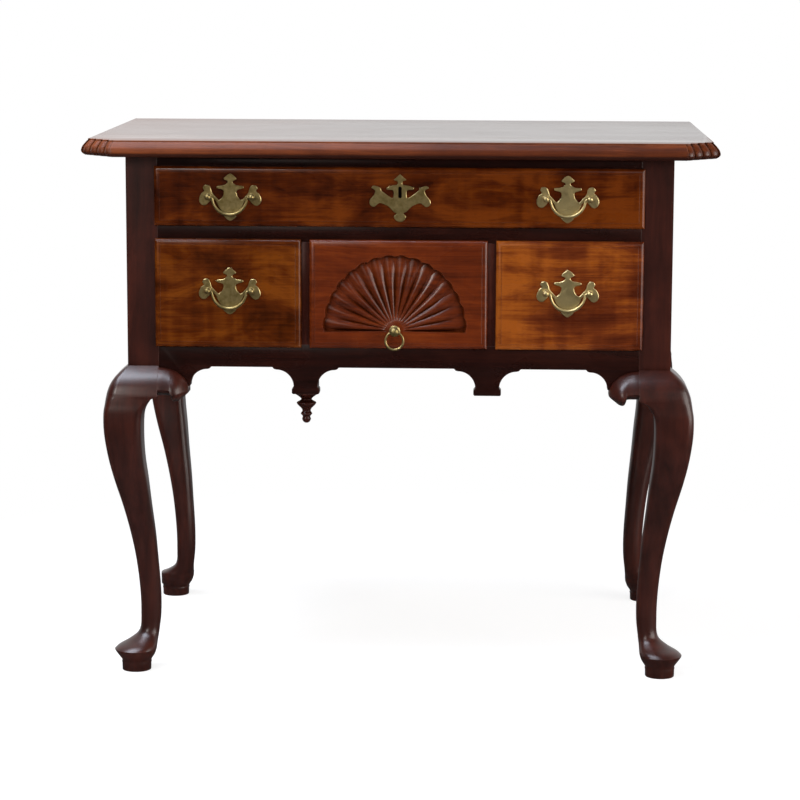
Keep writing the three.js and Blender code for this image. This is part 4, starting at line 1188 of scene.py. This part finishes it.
paint, shown_paint = [add_node(tree, "ShaderNodeBsdfDiffuse", {"Color": srgb(*shade)})
    for shade in ((236, 236, 234), (150, 150, 150))]
pure_white = (1, 1, 1, 1)
white, half_white, mirrored_floor = [
    add_node(tree, "ShaderNodeEmission", {"Color": pure_white, "Strength": glow}) for glow in (1.0, 0.8, 0.06)]
shadow_keeper = add_node(tree, "ShaderNodeAddShader", {0: shown_paint, 1: half_white})
parts = axes(coordinates(tree))
distance = maths("SQRT", plus(times(parts[0], parts[0]), times(parts[1], parts[1])))
path = add_node(tree, "ShaderNodeLightPath").outputs
whole = mixed(path["Is Camera Ray"], mixed(path["Is Glossy Ray"], paint, mirrored_floor),
    mixed(remap(distance, 0.4, 1.1), shadow_keeper, white))
link_inputs(tree.nodes["Material Output"], {0: whole})
floor.data.materials.append(floor_paint)

world = bpy.data.worlds.new("studio")
bpy.context.scene.world = world
world.use_nodes = True
tree = world.node_tree
tree.nodes.clear()
path = add_node(tree, "ShaderNodeLightPath").outputs
toward = axes(coordinates(tree, "Generated"))
# The white sweep stands behind and beside the piece; the room in front of it is dimmer
sweep = times(remap(toward[1], 0.05, 0.6, 0.015, 0.72), remap(toward[2], -0.2, 0.0, 0.12, 1.0))
seen = maths("MAXIMUM", path["Is Glossy Ray"], path["Is Transmission Ray"])
mirror, air, backdrop = [add_node(tree, "ShaderNodeBackground", {"Color": shade, "Strength": strength})
    for shade, strength in (((1, 1, 1, 1), sweep), (srgb(212, 214, 220), 0.5),
        ((1, 1, 1, 1), 1.0))]
whole = mixed(path["Is Camera Ray"], mixed(seen, air, mirror), backdrop)
add_node(tree, "ShaderNodeOutputWorld", {0: whole})

# Each lamp's place, the point it faces, its width and height, its power and its colour
for name, place, aim, width, height, power, colour in (
        ("window", (-1.7, -2.9, 2.05), (-0.1, -0.1, 0.5), 0.9, 0.9, 33, (1.0, 0.95, 0.9)),
        ("bounce", (2.2, -1.0, 0.95), (0.2, -0.1, 0.55), 1.8, 1.6, 42, (1.0, 0.95, 0.9)),
        ("overhead", (-0.9, -0.45, 2.6), (-0.3, -0.2, 0.4), 1.5, 1.7, 96, (0.8, 0.87, 1.0)),
        ("glow", (-0.95, -3.45, 1.35), (-0.1, -0.1, 0.5), 1.1, 1.1, 5, (1.0, 0.9, 0.82)),
        ("fill", (1.7, -2.5, 1.8), (0.1, -0.2, 0.5), 1.4, 1.4, 8, (1.0, 0.97, 0.94)),
):
    lamp = bpy.data.lights.new(name, "AREA")
    lamp.shape, lamp.size, lamp.size_y = "RECTANGLE", width, height
    lamp.energy, lamp.color = power, colour
    holder = in_scene(name, lamp)
    holder.location = place
    holder.rotation_mode = "QUATERNION"
    holder.rotation_quaternion = (Vector(aim) - Vector(place)).to_track_quat("-Z", "Y")

camera = in_scene("camera", bpy.data.cameras.new("camera"))
camera.data.lens = 120.09
camera.data.sensor_width = 36.0
yaw, pitch, roll = radians(-2.1905), radians(-9.3132), radians(0.2158)
ahead = Vector((sin(yaw) * cos(pitch), cos(yaw) * cos(pitch), sin(pitch)))
right = Vector((cos(yaw), -sin(yaw), 0.0))
up = right.cross(ahead)
rolled_right = cos(roll) * right + sin(roll) * up
rolled_up = cos(roll) * up - sin(roll) * right
turn = Matrix((rolled_right, rolled_up, -ahead)).transposed().to_4x4()
camera.matrix_world = Matrix.Translation((0.1448376, -3.9550445, 1.0070628)) @ turn
camera.data.clip_end = 50.0
bpy.context.scene.camera = camera
bpy.context.scene.view_settings.view_transform = "Standard"
